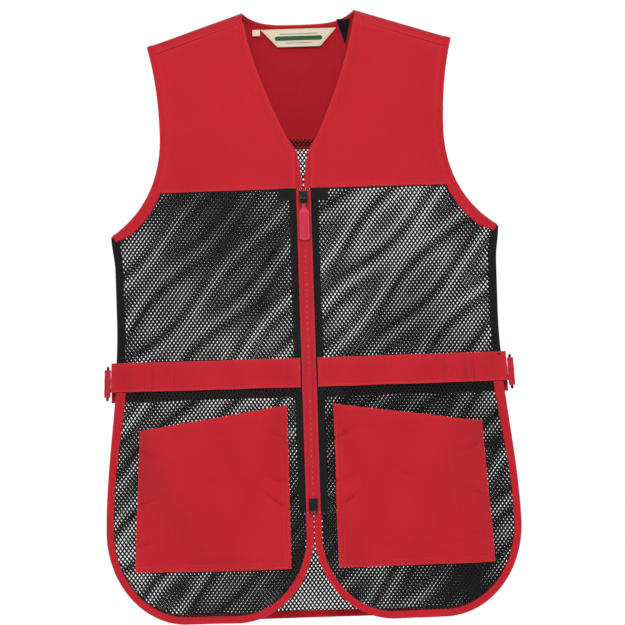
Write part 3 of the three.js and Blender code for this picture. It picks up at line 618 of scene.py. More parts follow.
def bound_edge(name, outer, inner, outward, thick=0.0026, lift=0.0, pucker=0.0003):
    """A folded strip between an outer and an inner run of points: an oval carried along, as wide as the distance
    between the runs and as thick as thick, with puckers in its fold and a dip along the line of stitches."""
    across = (inner - outer) / 2
    along = np.gradient((outer + inner) / 2, axis=0)
    normal = unit(np.cross(along, across))
    turned = (normal[len(normal) // 2] * outward).sum() < 0
    normal = -normal if turned else normal
    angle = np.linspace(0, 2 * math.pi, 17)[:-1]
    wide = np.sign(np.cos(angle)) * np.abs(np.cos(angle)) ** 0.8
    high = np.sign(np.sin(angle)) * np.abs(np.sin(angle)) ** 0.7
    dip = 1 - 0.45 * np.exp(-((wide - 0.45) / 0.22) ** 2)
    bumpy = ripple(outer, pucker)[:, None]
    half = thick / 2 + bumpy * 0.8
    middle = (outer + inner)[:, None] / 2 + normal[:, None] * lift
    side_way = across[:, None] * wide[None, :, None] * (1 + bumpy[..., None] * 60 * (wide < 0)[None, :, None])
    grid = middle + side_way + normal[:, None] * (half * high * dip)[..., None]
    rows, cols = grid.shape[:2]
    number = np.arange(rows * cols).reshape(rows, cols)
    after = np.roll(number, -1, axis=1)
    quads = np.stack([number[:-1], number[1:], after[1:], after[:-1]], axis=-1).reshape(-1, 4)
    flat_place = np.stack(np.broadcast_arrays(angle[None] * 0.002, path_length(outer)[:, None]), axis=-1)
    rim = np.broadcast_to(np.exp(-((wide + 1) / 0.4) ** 2), (rows, cols)).ravel()
    start, end = number[0].tolist(), number[-1][::-1].tolist()
    faces = quads.tolist() + [start, end]
    sense = np.cross(grid[1, 0] - grid[0, 0], grid[0, 1] - grid[0, 0]) @ (grid[0, 0] - middle[0, 0])
    if sense < 0:
        faces = [f[::-1] for f in faces]
    return new_piece(name, grid.reshape(-1, 3), faces, flat_place.reshape(-1, 2), rim)


def stitch_line(outer, inner, share):
    """The run of points a share of the way from the outer edge of a strip to its inner edge."""
    return outer + (inner - outer) * share


def laid(line, side, face):
    """A run of points (x, z) laid on the hanging cloth, on one side and face of it."""
    return hang(side * line[:, 0], line[:, 1], face)


fold_out, climb_count = 0.0006, 16
shoulder_bend = (-0.036, -0.208)
pit_line, fold_line = armhole_edge(-fold_out), armhole_edge(binding_width + fold_out)
fullness = 0.0045 * smooth(-pit_line[:, 1], 0.150, 0.235) * (1 - smooth(-pit_line[:, 1], 0.262, 0.275))
fold_line = fold_line + unit(fold_line - pit_line) * fullness[:, None]
seam_below = shoulder_seam_drop + seam_gap
low = pit_line[:, 1] < shoulder_z(tip_half) - seam_below - 0.0008
fold = np.linspace(1, 0, 12)[:-1] ** 2 * (shoulder_seam_drop + 0.0002)
climb = np.linspace(0, 1, climb_count)[:-1] ** 2 * (-pit_line[climb_count, 1] - tip_drop)


def from_shoulder_seam(line):
    """A run of points of the front's armhole, cut off at the shoulder seam."""
    x = float(x_below(line, np.array(seam_below)))
    return np.concatenate([[[x, shoulder_z(x) - seam_below]], line[low]])


def over_shoulder(line, side):
    """Points of the back's armhole: up from the shoulder seam on the front, over the fold and down the back."""
    up, down = x_below(line, fold), x_below(line, climb)
    return np.concatenate([hang(side * up, shoulder_z(up) - fold, FRONT),
                           hang(side * down, shoulder_z(down) - climb, BACK), laid(line[climb_count:], side, BACK)])


for side, word in SIDES:
    outer, inner = [laid(from_shoulder_seam(line), side, FRONT) for line in (pit_line, fold_line)]
    strip = bound_edge(f"armhole_binding_front_{word}", outer, inner, outward_of[FRONT], lift=0.0002)
    sewn(strip, red_cloth, "red_cloth", ("back", f"front_{word}"), f"front_armhole_binding_{word}",
         span=shoulder_bend)
    stitch_row(f"armhole_stitches_front_{word}", [stitch_line(outer, inner, 0.74)], outward_of[FRONT], 0.0009,
               red_thread, "red_cloth", ("back", f"front_{word}"), span=shoulder_bend)
    outer, inner = [over_shoulder(line, side) for line in (pit_line, fold_line)]
    strip = bound_edge(f"armhole_binding_back_{word}", outer, inner, outward_of[BACK], lift=0.0002)
    sewn(strip, red_cloth, "red_cloth", "back", f"back_armhole_binding_{word}")
    stitch_row(f"armhole_stitches_back_{word}", [stitch_line(outer, inner, 0.74)[30:]], outward_of[BACK], 0.0009,
               red_thread, "red_cloth", "back")

# ---- Neck band, label and size tab ----
# The back neck edge is a narrow folded band of the crimson cloth. A cream woven label with a plain green bar hangs
# from its seam inside the neck, with a small folded size tab at one end and a corner of black lining at the other.
band_x = np.linspace(-neck_half * 0.985, neck_half * 0.985, 141)
band_top, band_low = back_neck_z(band_x) + 0.0004, back_neck_z(band_x) - neck_band_width
neck_band = bound_edge("neck_band", hang(band_x, np.minimum(band_top, shoulder_z(band_x)), BACK),
                       hang(band_x, band_low, BACK), outward_of[BACK], thick=0.0030, pucker=0.00015)
sewn(neck_band, red_cloth, "red_cloth", "back", "back_neck_binding")
inside_neck = hang(band_x[6:-6], band_low[6:-6] + 0.0014, BACK)
stitch_row("neck_band_stitches", [inside_neck], outward_of[FRONT], 0.0014, red_thread, "red_cloth", "back")

label_top, label_height, label_top_half, label_low_half = 0.0200, 0.022, 0.0475, 0.027
label_stand = hang(label_top_half, np.array([-label_top, -label_top - label_height]), BACK)[:, 1] - 0.0015
cream_weave = woven_finish("cream_label", (0.94, 0.84, 0.62), (1.0, 0.93, 0.74), (0.86, 0.76, 0.54), thread=0.0004,
                           sheen=0.1)
green_weave = woven_finish("green_thread", (0.020, 0.095, 0.035), (0.045, 0.17, 0.07), (0.05, 0.16, 0.07),
                           thread=0.00035, sheen=0.3)


def on_label(x, share, proud):
    """A point of the label's plane at a half width and a share of its height, standing proud towards the front; the
    label bows a little, forwards in the middle."""
    bow = 0.0007 * (1 - (x / label_top_half) ** 2)
    y = lerp(label_stand[0], label_stand[1], share) - proud - bow
    z = back_neck_drop - label_top - share * label_height
    return np.stack(np.broadcast_arrays(x, y, z), axis=-1)


down_share = np.linspace(0, 1, 15)[:, None]
across_share = np.linspace(-1, 1, 49)[None]
label_x = across_share * lerp(label_top_half, label_low_half, down_share)
label = cloth_cut("neck_label", on_label(label_x, down_share, 0), 0.0008, outward_of[FRONT])
sewn(label, cream_weave, "label_cream", "back", "label_patch")
bar_half = 0.030 - 0.0022 * np.abs(np.linspace(-1, 1, 9))[:, None] ** 2.5
bar_grid = on_label(across_share * bar_half, np.linspace(0.40, 0.64, 9)[:, None], 0.0008)
label_bar = cloth_cut("label_bar", bar_grid, 0.0006, outward_of[FRONT])
sewn(label_bar, green_weave, "label_green", "back", "label_stripe")
for share_down, half in ((0.27, 0.024), (0.78, 0.017)):
    thin = on_label(across_share * half, np.linspace(share_down - 0.012, share_down + 0.012, 3)[:, None], 0.0006)
    sewn(cloth_cut(f"label_line_{int(100 * share_down)}", thin, 0.0004, outward_of[FRONT]), green_weave,
         "label_green", "back")
label_top_run = on_label(np.linspace(-0.0455, 0.0455, 40), 0.055, 0.0004)
label_side_runs = [on_label(side * (lerp(label_top_half, label_low_half, down_share[:, 0]) - 0.0018),
                            down_share[:, 0] * 0.95, 0.0004) for side in (LEFT, RIGHT)]
cream_thread = woven_finish("cream_thread", (0.62, 0.55, 0.38), (0.78, 0.72, 0.55), (0.78, 0.72, 0.55),
                            thread=0.0004)
stitch_row("label_stitches", [label_top_run, *label_side_runs], outward_of[FRONT], 0.0001, cream_thread,
           "label_cream", "back")

tab_low, tab_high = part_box("size_tab")
tab_u = np.linspace(tab_low[0], tab_high[0], 9)[None]
tab_v = np.linspace(0, 1, 11)[:, None]
tab_grid = np.stack(np.broadcast_arrays(tab_u, (tab_low[1] + tab_high[1]) / 2 - 0.0006 * np.sin(math.pi * tab_v),
                                        tab_high[2] + (tab_low[2] - tab_high[2]) * tab_v), axis=-1)
sewn(cloth_cut("size_tab_fold", tab_grid, 0.0009, outward_of[FRONT]), cream_weave, "label_cream", "size_tab",
     "size_tab")


black_tape = woven_finish("black_tape", (0.004, 0.004, 0.0045), (0.011, 0.011, 0.012), (0.02, 0.02, 0.02),
                          thread=0.0009, rough=(0.6, 0.85), sheen=0.02)
corner_share = np.linspace(0, 1, 9)[:, None]
corner_x = lerp(0.0485 + 0.010 * corner_share, 0.0665 - 0.0072 * corner_share, np.linspace(0, 1, 9)[None])
corner_z = -0.009 - 0.031 * corner_share
lining_corner = cloth_cut("lining_corner", hang(corner_x, corner_z, BACK), 0.0008, outward_of[FRONT], lift=0.0014)
sewn(lining_corner, black_tape, "black_tape", "back")

# ---- Bound hem and vents of the back ----
# The same folded strip runs down one vent, round the hem and up the other vent in one piece, a little wider at the
# top of the vents.
vent_count, corner_count, hem_count = 60, 60, 80


def vent_edge(inset, extra=0.0):
    """Points (x, z) from the top of a vent down to the hem, round the outer corner; extra widens the top."""
    z = np.linspace(-vent_top - 0.0003, -outer_corner_drop, vent_count)[:-1]
    down = np.stack([side_x(z) - seam_inset - inset - extra * smooth(z, -0.60, -0.47), z], axis=1)
    turn = np.linspace(0, math.pi / 2, corner_count)
    reach = side_x(-outer_corner_drop) - seam_inset - inset - outer_corner_x
    fall = (vest_length - outer_corner_drop - inset) * np.sin(turn)
    corner = np.stack([outer_corner_x + reach * np.cos(turn), -outer_corner_drop - fall], axis=1)
    return np.concatenate([down, corner])


def back_hem(inset, extra):
    """The back's lower outline: one vent and corner, the straight hem, and the other corner and vent."""
    half = vent_edge(inset, extra)
    x = np.linspace(outer_corner_x, 0, hem_count)[1:-1]
    half = np.concatenate([half, np.stack([x, np.full(len(x), -vest_length + inset)], axis=1)])
    return np.concatenate([half, [[0, -vest_length + inset]], (half * [-1, 1])[::-1]])


hem_outer, hem_inner = back_hem(-0.0004, 0.0), back_hem(binding_width + 0.0004, 0.0035)
hem_outer, hem_inner = [laid(line, LEFT, BACK) for line in (hem_outer, hem_inner)]
back_binding = bound_edge("hem_binding_back", hem_outer, hem_inner, outward_of[BACK])
sewn(back_binding, red_cloth, "red_cloth", "back", "back_hem_binding")
stitch_row("hem_stitches_back", [stitch_line(hem_outer, hem_inner, 0.76)], outward_of[BACK], 0.0008, red_thread,
           "red_cloth", "back")

# ---- Front yokes and neck facings ----
# Each front's upper part is one cut of the crimson cloth, from the shoulder seam down to the mesh. Its neck edge is
# turned in over a facing 25 mm wide and held by one row of stitches, with a welt between the row and the edge.
facing_width = 0.025
v_depth, v_curve, zip_half = 0.178, 1.45, 0.0093
welt_width = 0.0095


def v_edge(z):
    """Half width of the V of the neck at a height."""
    return zip_half + (neck_half - zip_half) * np.maximum(0, 1 - (np.maximum(0, -z) / v_depth) ** v_curve)


def front_yoke_grid(rows, cols, side, reach):
    """Points of a front's yoke: down from the shoulder seam, and across from the neck edge by a share of reach. The
    turned edge stands up as a welt, with a groove along its row of stitches."""
    v = np.linspace(0, 1, rows)[:, None] ** 1.3
    u = np.linspace(0, 1, cols)[None] ** 1.4
    seam = shoulder_seam_drop + seam_gap
    inner_z = lerp(-seam, -front_yoke_drop, v)
    outer_z = lerp(shoulder_z(yoke_edge[0, 0]) - seam, -front_yoke_drop, v)
    inner_x = v_edge(inner_z)
    outer_x = x_at(yoke_edge, np.minimum(outer_z, yoke_edge[0, 1]))
    part = u if reach is None else u * reach / (outer_x - inner_x)
    grid = hang(side * lerp(inner_x, outer_x, part), lerp(inner_z, outer_z, part), FRONT)
    from_edge = part * (outer_x - inner_x)
    welt = 0.0005 * (1 - smooth(from_edge, welt_width - 0.0015, welt_width))
    grid[..., 1] -= welt - 0.0007 * np.exp(-((from_edge - welt_width) / 0.0014) ** 2)
    return grid


for side, word in SIDES:
    grid = front_yoke_grid(48, 66, side, None)
    front_yoke = cloth_cut(f"yoke_of_front_{word}", grid, cloth_thick, outward_of[FRONT], lift=0.0004)
    bodies = ("back", f"front_{word}")
    sewn(front_yoke, red_cloth, "red_cloth", bodies, f"front_yoke_{word}", span=shoulder_bend)
    neck_facing = cloth_cut(f"facing_of_neck_{word}", front_yoke_grid(48, 10, side, facing_width), cloth_thick,
                            outward_of[FRONT], lift=-0.0012)
    sewn(neck_facing, red_cloth, "red_cloth", bodies, f"neck_facing_{word}", span=shoulder_bend)
    near = front_yoke_grid(48, 2, side, welt_width)[:, 1]
    seam_low = [cloth_row(side * (zip_half + 0.002), side * (float(x_at(yoke_edge, -front_yoke_drop)) - 0.002),
                          -front_yoke_drop + up, FRONT) for up in (0.0020, 0.0056)]
    stitch_row(f"yoke_stitches_{word}", [near, *seam_low], outward_of[FRONT], 0.0011, red_thread, "red_cloth", bodies,
               span=shoulder_bend)

# ---- Mesh of the fronts and the mesh behind the pockets ----
# The same net in one piece for each front, and a second layer of it behind each pocket, whose top edge shows as a
# darker zone round the pocket.
pocket_inner, pocket_top_outer, pocket_bottom_outer = 0.030, 0.2135, 0.2255
pocket_inner_top, pocket_outer_top, pocket_bottom = 0.493, 0.5205, 0.698


def inside_front(x, z):
    """Cells of a front's net, from under the yoke seam to under the hem binding."""
    width = np.minimum(hem_half_width(z, 0.0055), np.where(z > -pit_drop, x_at(net_side, z), 1.0))
    inner = np.maximum(front_edge_x(z, 0.0055), zip_half - 0.001)
    return (z < -front_yoke_drop + 0.004) & (z > -vest_length + 0.0060) & (x < width - 0.0012) & (x > inner)


def behind_pocket(x, z):
    """Cells of the second layer behind a pocket."""
    between = (z < -vent_top - 0.012) & (z > -pocket_bottom - 0.014)
    return between & (x > zip_half + 0.012) & (x < pocket_bottom_outer + 0.008)


for side, word in SIDES:
    front_net = knitted_net(f"net_of_front_{word}", lambda x, z: inside_front(side * x, z), FRONT)
    sewn(front_net, black_net, "black_mesh", f"front_{word}", f"front_mesh_panel_{word}")
    seam_x = float(x_at(yoke_edge, -front_yoke_drop)) + 0.004
    seam_grid = hang(side * np.linspace(zip_half + 0.001, seam_x, 60)[None],
                     np.linspace(0.003, -0.0018, 5)[:, None] - front_yoke_drop, FRONT)
    seam = cloth_cut(f"seam_under_yoke_{word}", seam_grid, 0.0006, outward_of[FRONT], lift=-0.0009)
    sewn(seam, black_tape, "black_tape", f"front_{word}")
    back_layer = knitted_net(f"net_behind_pocket_{word}", lambda x, z: behind_pocket(side * x, z), FRONT,
                             lift=-0.0016)
    sewn(back_layer, black_net, "black_mesh", f"front_{word}", f"pocket_backing_{word}")

# ---- Bound hem, vents and front edges of the fronts ----
# One folded strip of the crimson cloth for each front: down the vent, round both corners of the hem and up the front
# edge to the end of the zip.
zip_slot, zip_end = 0.0008, 0.628


def front_hem(inset, extra):
    """The front's lower outline, from the top of the vent to the end of the zip."""
    outer = vent_edge(inset, extra)
    turn = np.linspace(math.pi / 2, 0, corner_count)
    reach = inner_corner_x - zip_slot - inset
    fall = (vest_length - inner_corner_drop - inset) * np.sin(turn)
    inner = np.stack([inner_corner_x - reach * np.cos(turn), -inner_corner_drop - fall], axis=1)
    flat = np.linspace(outer_corner_x, inner_corner_x, 20)[1:-1]
    hem = np.stack([flat, np.full(18, -vest_length + inset)], axis=1)
    climb = np.linspace(-inner_corner_drop, -zip_end - seam_gap, 8)[1:]
    edge = np.stack([np.full(7, zip_slot + inset), climb], axis=1)
    return np.concatenate([outer, hem, inner, edge])


for side, word in SIDES:
    outer, inner = front_hem(-0.0004, 0.0), front_hem(binding_width + 0.0004, 0.0035)
    outer, inner = [laid(line, side, FRONT) for line in (outer, inner)]
    strip = bound_edge(f"hem_binding_front_{word}", outer, inner, outward_of[FRONT], lift=0.0002)
    sewn(strip, red_cloth, "red_cloth", f"front_{word}", f"front_hem_binding_{word}")
    stitch_row(f"hem_stitches_front_{word}", [stitch_line(outer, inner, 0.76)], outward_of[FRONT], 0.0009, red_thread,
               "red_cloth", f"front_{word}")

# ---- Side seams ----
# The meshes of front and back meet between armhole and belt in a seam that is bound with black tape, half of it on
# each face.
seam_z = np.linspace(-pit_drop - 0.001, -belt_top - 0.004, 80)
for side, word in SIDES:
    for face, body, place in ((BACK, "back", "back"), (FRONT, f"front_{word}", "front")):
        outer = hang(side * (side_x(seam_z) - 0.0004), seam_z, face)
        inner = hang(side * (side_x(seam_z) - 0.0105), seam_z, face)
        tape = bound_edge(f"side_seam_{place}_{word}", outer, inner, outward_of[face], thick=0.0020, pucker=0.00015)
        sewn(tape, black_tape, "black_tape", body, *([f"side_seam_tape_{word}"] if face == BACK else []))

# ---- Zip ----
# Two ribbed crimson tapes with a black coil behind them, whose turns mesh in the middle. A black facing lies behind
# each tape, and a small black tab finishes the top beside the slider. Above it the free tapes meet in a V.
tape_top, tape_length = front_yoke_drop + seam_gap, 0.405
tape_finish = woven_finish("zip_tape", (0.34, 0.008, 0.016), (0.50, 0.014, 0.026), (0.55, 0.03, 0.04), thread=0.0011,
                           rough=(0.6, 0.8), sheen=0.05, rib=0.5)
across, fine_across = np.linspace(0, 1, 15)[None], np.linspace(0, 1, 25)[None]
coil_pitch, coil_x = 0.0020, 0.0024
coil_finish = knitted_finish("coil_nylon", (0.006, 0.006, 0.007), (0.014, 0.014, 0.015), rough=(0.25, 0.4))
for side, word in SIDES:
    body = f"front_{word}"
    down = np.linspace(-tape_top - 0.001, -zip_end, 160)[:, None]
    tape_grid = hang(side * lerp(zip_slot - 0.0006, zip_half - 0.0002, across), down, FRONT)
    rib = 0.00035 * np.exp(-((across - 0.12) / 0.10) ** 2) - 0.00025 * np.exp(-((across - 0.42) / 0.07) ** 2)
    tape_grid[..., 1] -= rib + 0.00012 * np.sin(down * 2 * math.pi / 0.023) * across
    tape = cloth_cut(f"tape_of_zip_{word}", tape_grid, cloth_thick, outward_of[FRONT])
    sewn(tape, tape_finish, "zip_tape", body, f"zip_tape_{word}")
    run = hang(side * 0.0074, np.linspace(-tape_top - 0.004, -zip_end + 0.002, 120), FRONT)
    stitch_row(f"zip_stitches_{word}", [run], outward_of[FRONT], 0.0007, red_thread, "zip_tape", body)
    turn_z = np.arange(-tape_top - 0.006, -zip_end + 0.004, -coil_pitch) - (coil_pitch / 2 if side == RIGHT else 0)
    turns = np.stack([np.full(len(turn_z), side * coil_x), hang(0.002, turn_z, FRONT)[:, 1] + 0.0018,
                      turn_z + back_neck_drop], axis=1)
    points, faces = diamonds(turns, np.tile([float(side), 0, 0], (len(turns), 1)),
                             np.tile([0, -1.0, 0], (len(turns), 1)), 0.0018, 0.0010, 0.0009, 0.0010)
    coil = new_piece(f"coil_of_zip_{word}", points, faces)
    sewn(coil, coil_finish, "zip_coil", body, f"zip_coil_{word}")
    down = np.linspace(-tape_top - 0.0005, -zip_end, 80)[:, None]
    facing_grid = hang(side * lerp(zip_half - 0.001, zip_half + 0.0090, across), down, FRONT)
    facing = cloth_cut(f"facing_behind_zip_{word}", facing_grid, cloth_thick, outward_of[FRONT], lift=-0.0015)
    sewn(facing, black_tape, "black_tape", body, f"placket_facing_{word}")
    down = np.linspace(0, 1, 17)[:, None]
    tab_grid = hang(side * lerp(zip_half + 0.001, zip_half + 0.0218, fine_across),
                    lerp(-tape_top + 0.0006, -tape_top - 0.0142, down), FRONT)
    tab_grid[..., 1] -= 0.0005 * np.sin(math.pi * fine_across) * np.sin(math.pi * down)
    top_tab = cloth_cut(f"tab_beside_zip_{word}", tab_grid, cloth_thick, outward_of[FRONT], lift=0.0018)
    sewn(top_tab, black_tape, "black_tape", body, f"zip_top_tab_{word}")
    down = np.linspace(-v_depth + 0.016, -tape_top + 0.0002, 50)[:, None]
    edge = v_edge(down) + 0.002
    free = lerp(edge - 0.0028, 0.0006, smooth(-down, v_depth - 0.020, tape_top + 0.004) ** 0.8)
    open_grid = hang(side * lerp(free, edge, fine_across), down, FRONT)
    open_tape = cloth_cut(f"tape_above_slider_{word}", open_grid, 0.0004, outward_of[FRONT], lift=-0.0004)
    sewn(open_tape, tape_finish, "zip_tape", ("back", body), span=shoulder_bend)

# ---- Pockets ----
# Each patch pocket is one cut of the crimson cloth, sewn on along its sides and bottom. Its slanted mouth has a
# turned hem, its body stands off the mesh, and its sides and lower part are creased where they have been packed flat.
pocket_bulge = 0.0165
# Each dent's place across and down the pocket, the slope of its line and its depth.
pocket_dents = ((0.05, 0.19, -0.6, 0.0038), (0.06, 0.46, -0.4, 0.0032), (0.09, 0.58, -0.8, 0.0036),
                (0.95, 0.18, -0.5, 0.0034), (0.94, 0.52, 0.4, 0.0034), (0.95, 0.82, 0.4, 0.0026),
                (0.45, 0.40, 0.5, 0.0016))


def pocket_grid(side, rows, cols, row_from=0.0, row_to=1.0, col_from=0.0, col_to=1.0):
    """Points of a pocket: across between its slanting sides and down from its slanting mouth, pushed out by a fourth
    power dome, with dents, a fold above the bottom, an upright crease, slack waves and a hem at the mouth."""
    v = np.linspace(row_from, row_to, rows)[:, None]
    u = np.linspace(col_from, col_to, cols)[None]
    x = lerp(pocket_inner, lerp(pocket_top_outer, pocket_bottom_outer, v), u)
    z = -lerp(lerp(pocket_inner_top, pocket_outer_top, u), pocket_bottom, v)
    grid = hang(side * x, z, FRONT)
    edge = 1 - (2 * u - 1) ** 4
    dome = edge * (1 - v ** 3)
    turn = 2 * math.pi
    slack = 0.0018 * np.sin(turn * (1.3 * u + 0.9 * v) + side) + 0.0013 * np.sin(turn * (2.6 * u - 1.1 * v))
    dents = sum(depth * np.exp(-((u - at_u) / 0.08) ** 2 - ((v - at_v - slope * (u - at_u)) / 0.018) ** 2)
                for at_u, at_v, slope, depth in pocket_dents)
    fold = 0.0010 * np.exp(-((v - 0.862 - 0.012 * np.sin(5 * u)) / 0.008) ** 2) * edge
    upright = 0.0009 * np.exp(-((u - 0.77 - 0.03 * v) / 0.012) ** 2)
    upright = upright * smooth(v, 0.05, 0.3) * (1 - smooth(v, 0.7, 0.9))
    grid[..., 1] -= pocket_bulge * dome + (slack - fold + upright) * edge * (1 - v ** 6) - dents
    grid[..., 1] -= 0.0004 * (1 - smooth(v, 0.105, 0.118))
    return grid


for side, word in SIDES:
    pocket = cloth_cut(f"pocket_on_front_{word}", pocket_grid(side, 90, 80), cloth_thick, outward_of[FRONT],
                       lift=0.0015)
    sewn(pocket, red_cloth, "red_cloth", f"front_{word}", f"pocket_patch_{word}")
    rows = [pocket_grid(side, 2, 90, a, a)[0] for a in (0.990, 0.962)]
    cols = [pocket_grid(side, 90, 2, 0.0, 1.0, a, a)[:, 0] for a in (0.009, 0.038, 0.991, 0.962)]
    stitch_row(f"pocket_stitches_{word}", rows + cols, outward_of[FRONT], 0.0022, red_thread, "red_cloth",
               f"front_{word}")

# ---- Waist belt ----
# Straps of folded crimson cloth, stitched along both edges. The front halves run from the zip round to the side
# buckles and are tacked down beside them; the back half is sewn across the mesh and lifts off towards the buckles.
buckle_z = -(belt_top + belt_width / 2 + 0.0145 / 2)
swing_top, swing_low = np.array([pit_half, 0, -pit_drop]), np.array([hem_half + 0.001, 0, -outer_corner_drop])
swing_way = (swing_top - swing_low) / np.linalg.norm(swing_top - swing_low)
buckle_x = float(swing_top[0] + swing_way[0] / swing_way[2] * (buckle_z - swing_top[2]))
loop_radius, buckle_reach, rod_radius = 0.0033, 0.014, 0.0015
strap_thick, strap_lift = 0.0013, 0.0020
belt_cloth = woven_finish("belt_cloth", (0.42, 0.011, 0.020), (0.57, 0.018, 0.031), (0.64, 0.04, 0.05), rib=0.7)


def belt_profile(across):
    """Height of the strap across its width: rolled at both edges and dished between the two rows of stitches."""
    edge = np.exp(-(across / 0.05) ** 2) + np.exp(-((1 - across) / 0.05) ** 2)
    row = np.exp(-((across - 0.085) / 0.025) ** 2) + np.exp(-((across - 0.915) / 0.025) ** 2)
    return 0.0003 * edge - 0.0005 * row


def belt_reach(z):
    """Half width at which a belt meets its buckle's bar, at a height."""
    return swing_top[0] + swing_way[0] / swing_way[2] * (z - swing_top[2]) - 0.0050


# Each tack's distance from the middle and how deep it pulls the strap in.
belt_tacks = ((0.028, 0.0007), (0.095, 0.0009), (0.170, 0.0014), (0.197, 0.0018), (0.207, 0.0015))


def front_belt_grid(side, along, across):
    """Points of a front belt by the share along it and the share across it, with puckers at its tacks and along the
    stitched edges."""
    z = -belt_top - across * belt_width
    x = lerp(zip_half + 0.0015, belt_reach(z), along)
    grid = hang(side * x, z, FRONT)
    tacks = sum(depth * np.exp(-((x - at) / 0.0022) ** 2) for at, depth in belt_tacks)
    slack = 0.0009 * np.sin(2 * math.pi * x / 0.031 + 2 * across) * smooth(x, 0.16, 0.20)
    soft = 0.0009 * np.sin(2 * math.pi * (x / 0.067 + 0.4 * across) + side)
    soft = soft + 0.0002 * np.sin(x * 900) * (across - 0.5)
    grid[..., 1] -= belt_profile(across) + soft + slack - tacks
    return grid


back_belt_top = belt_top + 0.0145


def back_belt_grid(along, across):
    """Points of the back belt: on the mesh in the middle, and from 165 mm out it lifts towards the rear bars."""
    z = -back_belt_top - across * (belt_width - 0.001)
    reach = belt_reach(z)
    x = along * reach
    grid = hang(x, z, BACK)
    lift = smooth(np.abs(x), 0.165, reach)
    short_of_bar = np.maximum(0, buckle_reach - (grid[..., 1] + nape_y))
    slack = 0.0004 * np.sin(2 * math.pi * x / 0.059)
    grid[..., 1] += short_of_bar * lift + belt_profile(across) + slack
    return grid


def belt_rows(points_at, from_share, to_share, tack_shares=()):
    """Runs of stitches of a strap: one near each edge, and one across it at each tack."""
    along = np.linspace(from_share, to_share, 160)
    rows = [points_at(along, np.full(160, share_across)) for share_across in (0.085, 0.915)]
    return rows + [points_at(np.full(20, at), np.linspace(0.1, 0.9, 20)) for at in tack_shares]


share_along, share_across = np.linspace(0, 1, 170)[None], np.linspace(0, 1, 23)[:, None]
for side, word in SIDES:
    belt = cloth_cut(f"belt_front_{word}", front_belt_grid(side, share_along, share_across), strap_thick,
                     outward_of[FRONT], lift=strap_lift)
    sewn(belt, belt_cloth, "red_belt", f"front_{word}", f"front_belt_{word}")
    rows = belt_rows(lambda a, b: front_belt_grid(side, a, b), 0.01, 0.985, (0.008, 0.675, 0.790, 0.832))
    stitch_row(f"belt_stitches_{word}", rows, outward_of[FRONT], 0.0028, red_thread, "red_belt", f"front_{word}")
back_along = np.linspace(-1, 1, 260)[None]
belt = cloth_cut("belt_back", back_belt_grid(back_along, share_across), strap_thick, outward_of[BACK],
                 lift=strap_lift)
sewn(belt, belt_cloth, "red_belt", "back", "back_belt")
stitch_row("belt_stitches_back", belt_rows(back_belt_grid, -0.97, 0.97, (-0.66, 0.66)), outward_of[BACK], 0.0028,
           red_thread, "red_belt", "back")

# ---- Side buckles and strap loops ----
# Moulded black frames with round bars. Each belt's end is turned round a bar and stitched to itself.
moulded_black = knitted_finish("moulded_black", (0.006, 0.006, 0.007), (0.012, 0.012, 0.013), rough=(0.28, 0.42))


def at_buckle(side, out, y, up):
    """A point by a side buckle: out from its middle, y in depth and up along the line that the front swings about."""
    x = buckle_x + out * swing_way[2] + up * swing_way[0]
    z = buckle_z - out * swing_way[0] + up * swing_way[2]
    return np.stack(np.broadcast_arrays(side * x, y - nape_y, z + back_neck_drop), axis=-1)


def ring_tube(name, centre, wide, tall):
    """A tube along a closed run of points: its round cross-section lies between the unit ways wide and tall."""
    angle = np.linspace(0, 2 * math.pi, 15)[:-1]
    across, up = np.cos(angle)[None, :, None], np.sin(angle)[None, :, None]
    grid = centre[:, None] + wide[:, None] * across + tall[:, None] * up
    rows, cols = grid.shape[:2]
    number = np.arange(rows * cols).reshape(rows, cols)
    below, after = np.roll(number, -1, axis=0), np.roll(number, -1, axis=1)
    corner = np.roll(below, -1, axis=1)
    quads = np.stack([number, below, corner, after], axis=-1).reshape(-1, 4)
    normal = np.cross(grid[1, 0] - grid[0, 0], grid[0, 1] - grid[0, 0])
    if normal @ (grid[0, 0] - centre[0]) < 0:
        quads = quads[:, ::-1]
    place = np.stack(np.broadcast_arrays(angle[None] * 0.001, np.arange(rows)[:, None] * 0.001), axis=-1)
    return new_piece(name, grid.reshape(-1, 3), quads, place.reshape(-1, 2), np.zeros(rows * cols))


for side, word in SIDES:
    turn = np.linspace(0, 2 * math.pi, 97)[:-1]
    round_y = np.sign(np.cos(turn)) * np.abs(np.cos(turn)) ** 0.35 * buckle_reach / 2 + buckle_reach / 2
    round_up = np.sign(np.sin(turn)) * np.abs(np.sin(turn)) ** 0.35 * 0.0205
    centre = at_buckle(side, 0, round_y, round_up)
    way = unit(np.roll(centre, -1, axis=0) - np.roll(centre, 1, axis=0))
    out_way = at_buckle(side, 1, 0, 0) - at_buckle(side, 0, 0, 0)
    beside = np.cross(way, out_way)
    frame_ring = ring_tube(f"buckle_{word}", centre, np.broadcast_to(out_way * rod_radius, centre.shape),
                           beside * rod_radius)
    sewn(frame_ring, moulded_black, "black_plastic", "back", f"side_buckle_{word}")
    round_bar = np.linspace(-2.62, 2.62, 33)[None]
    up = np.linspace(-0.0172, 0.0172, 21)[:, None]
    for bar_y, body, node, name in ((0.0, f"front_{word}", f"front_belt_loop_{word}", "front"),
                                    (buckle_reach, "back", f"back_belt_loop_{word}", "back")):
        slack = 1 + 0.05 * np.sin(up * 420) + 0.04 * np.cos(2 * round_bar)
        loop_out = loop_radius * slack * np.cos(round_bar)
        loop_y = bar_y + loop_radius * slack * np.sin(round_bar)
        loop_grid = at_buckle(side, loop_out, loop_y, up * np.ones_like(round_bar))
        loop = cloth_cut(f"strap_loop_{name}_{word}", loop_grid, 0.0011, out_way)
        sewn(loop, belt_cloth, "red_belt", body, node)

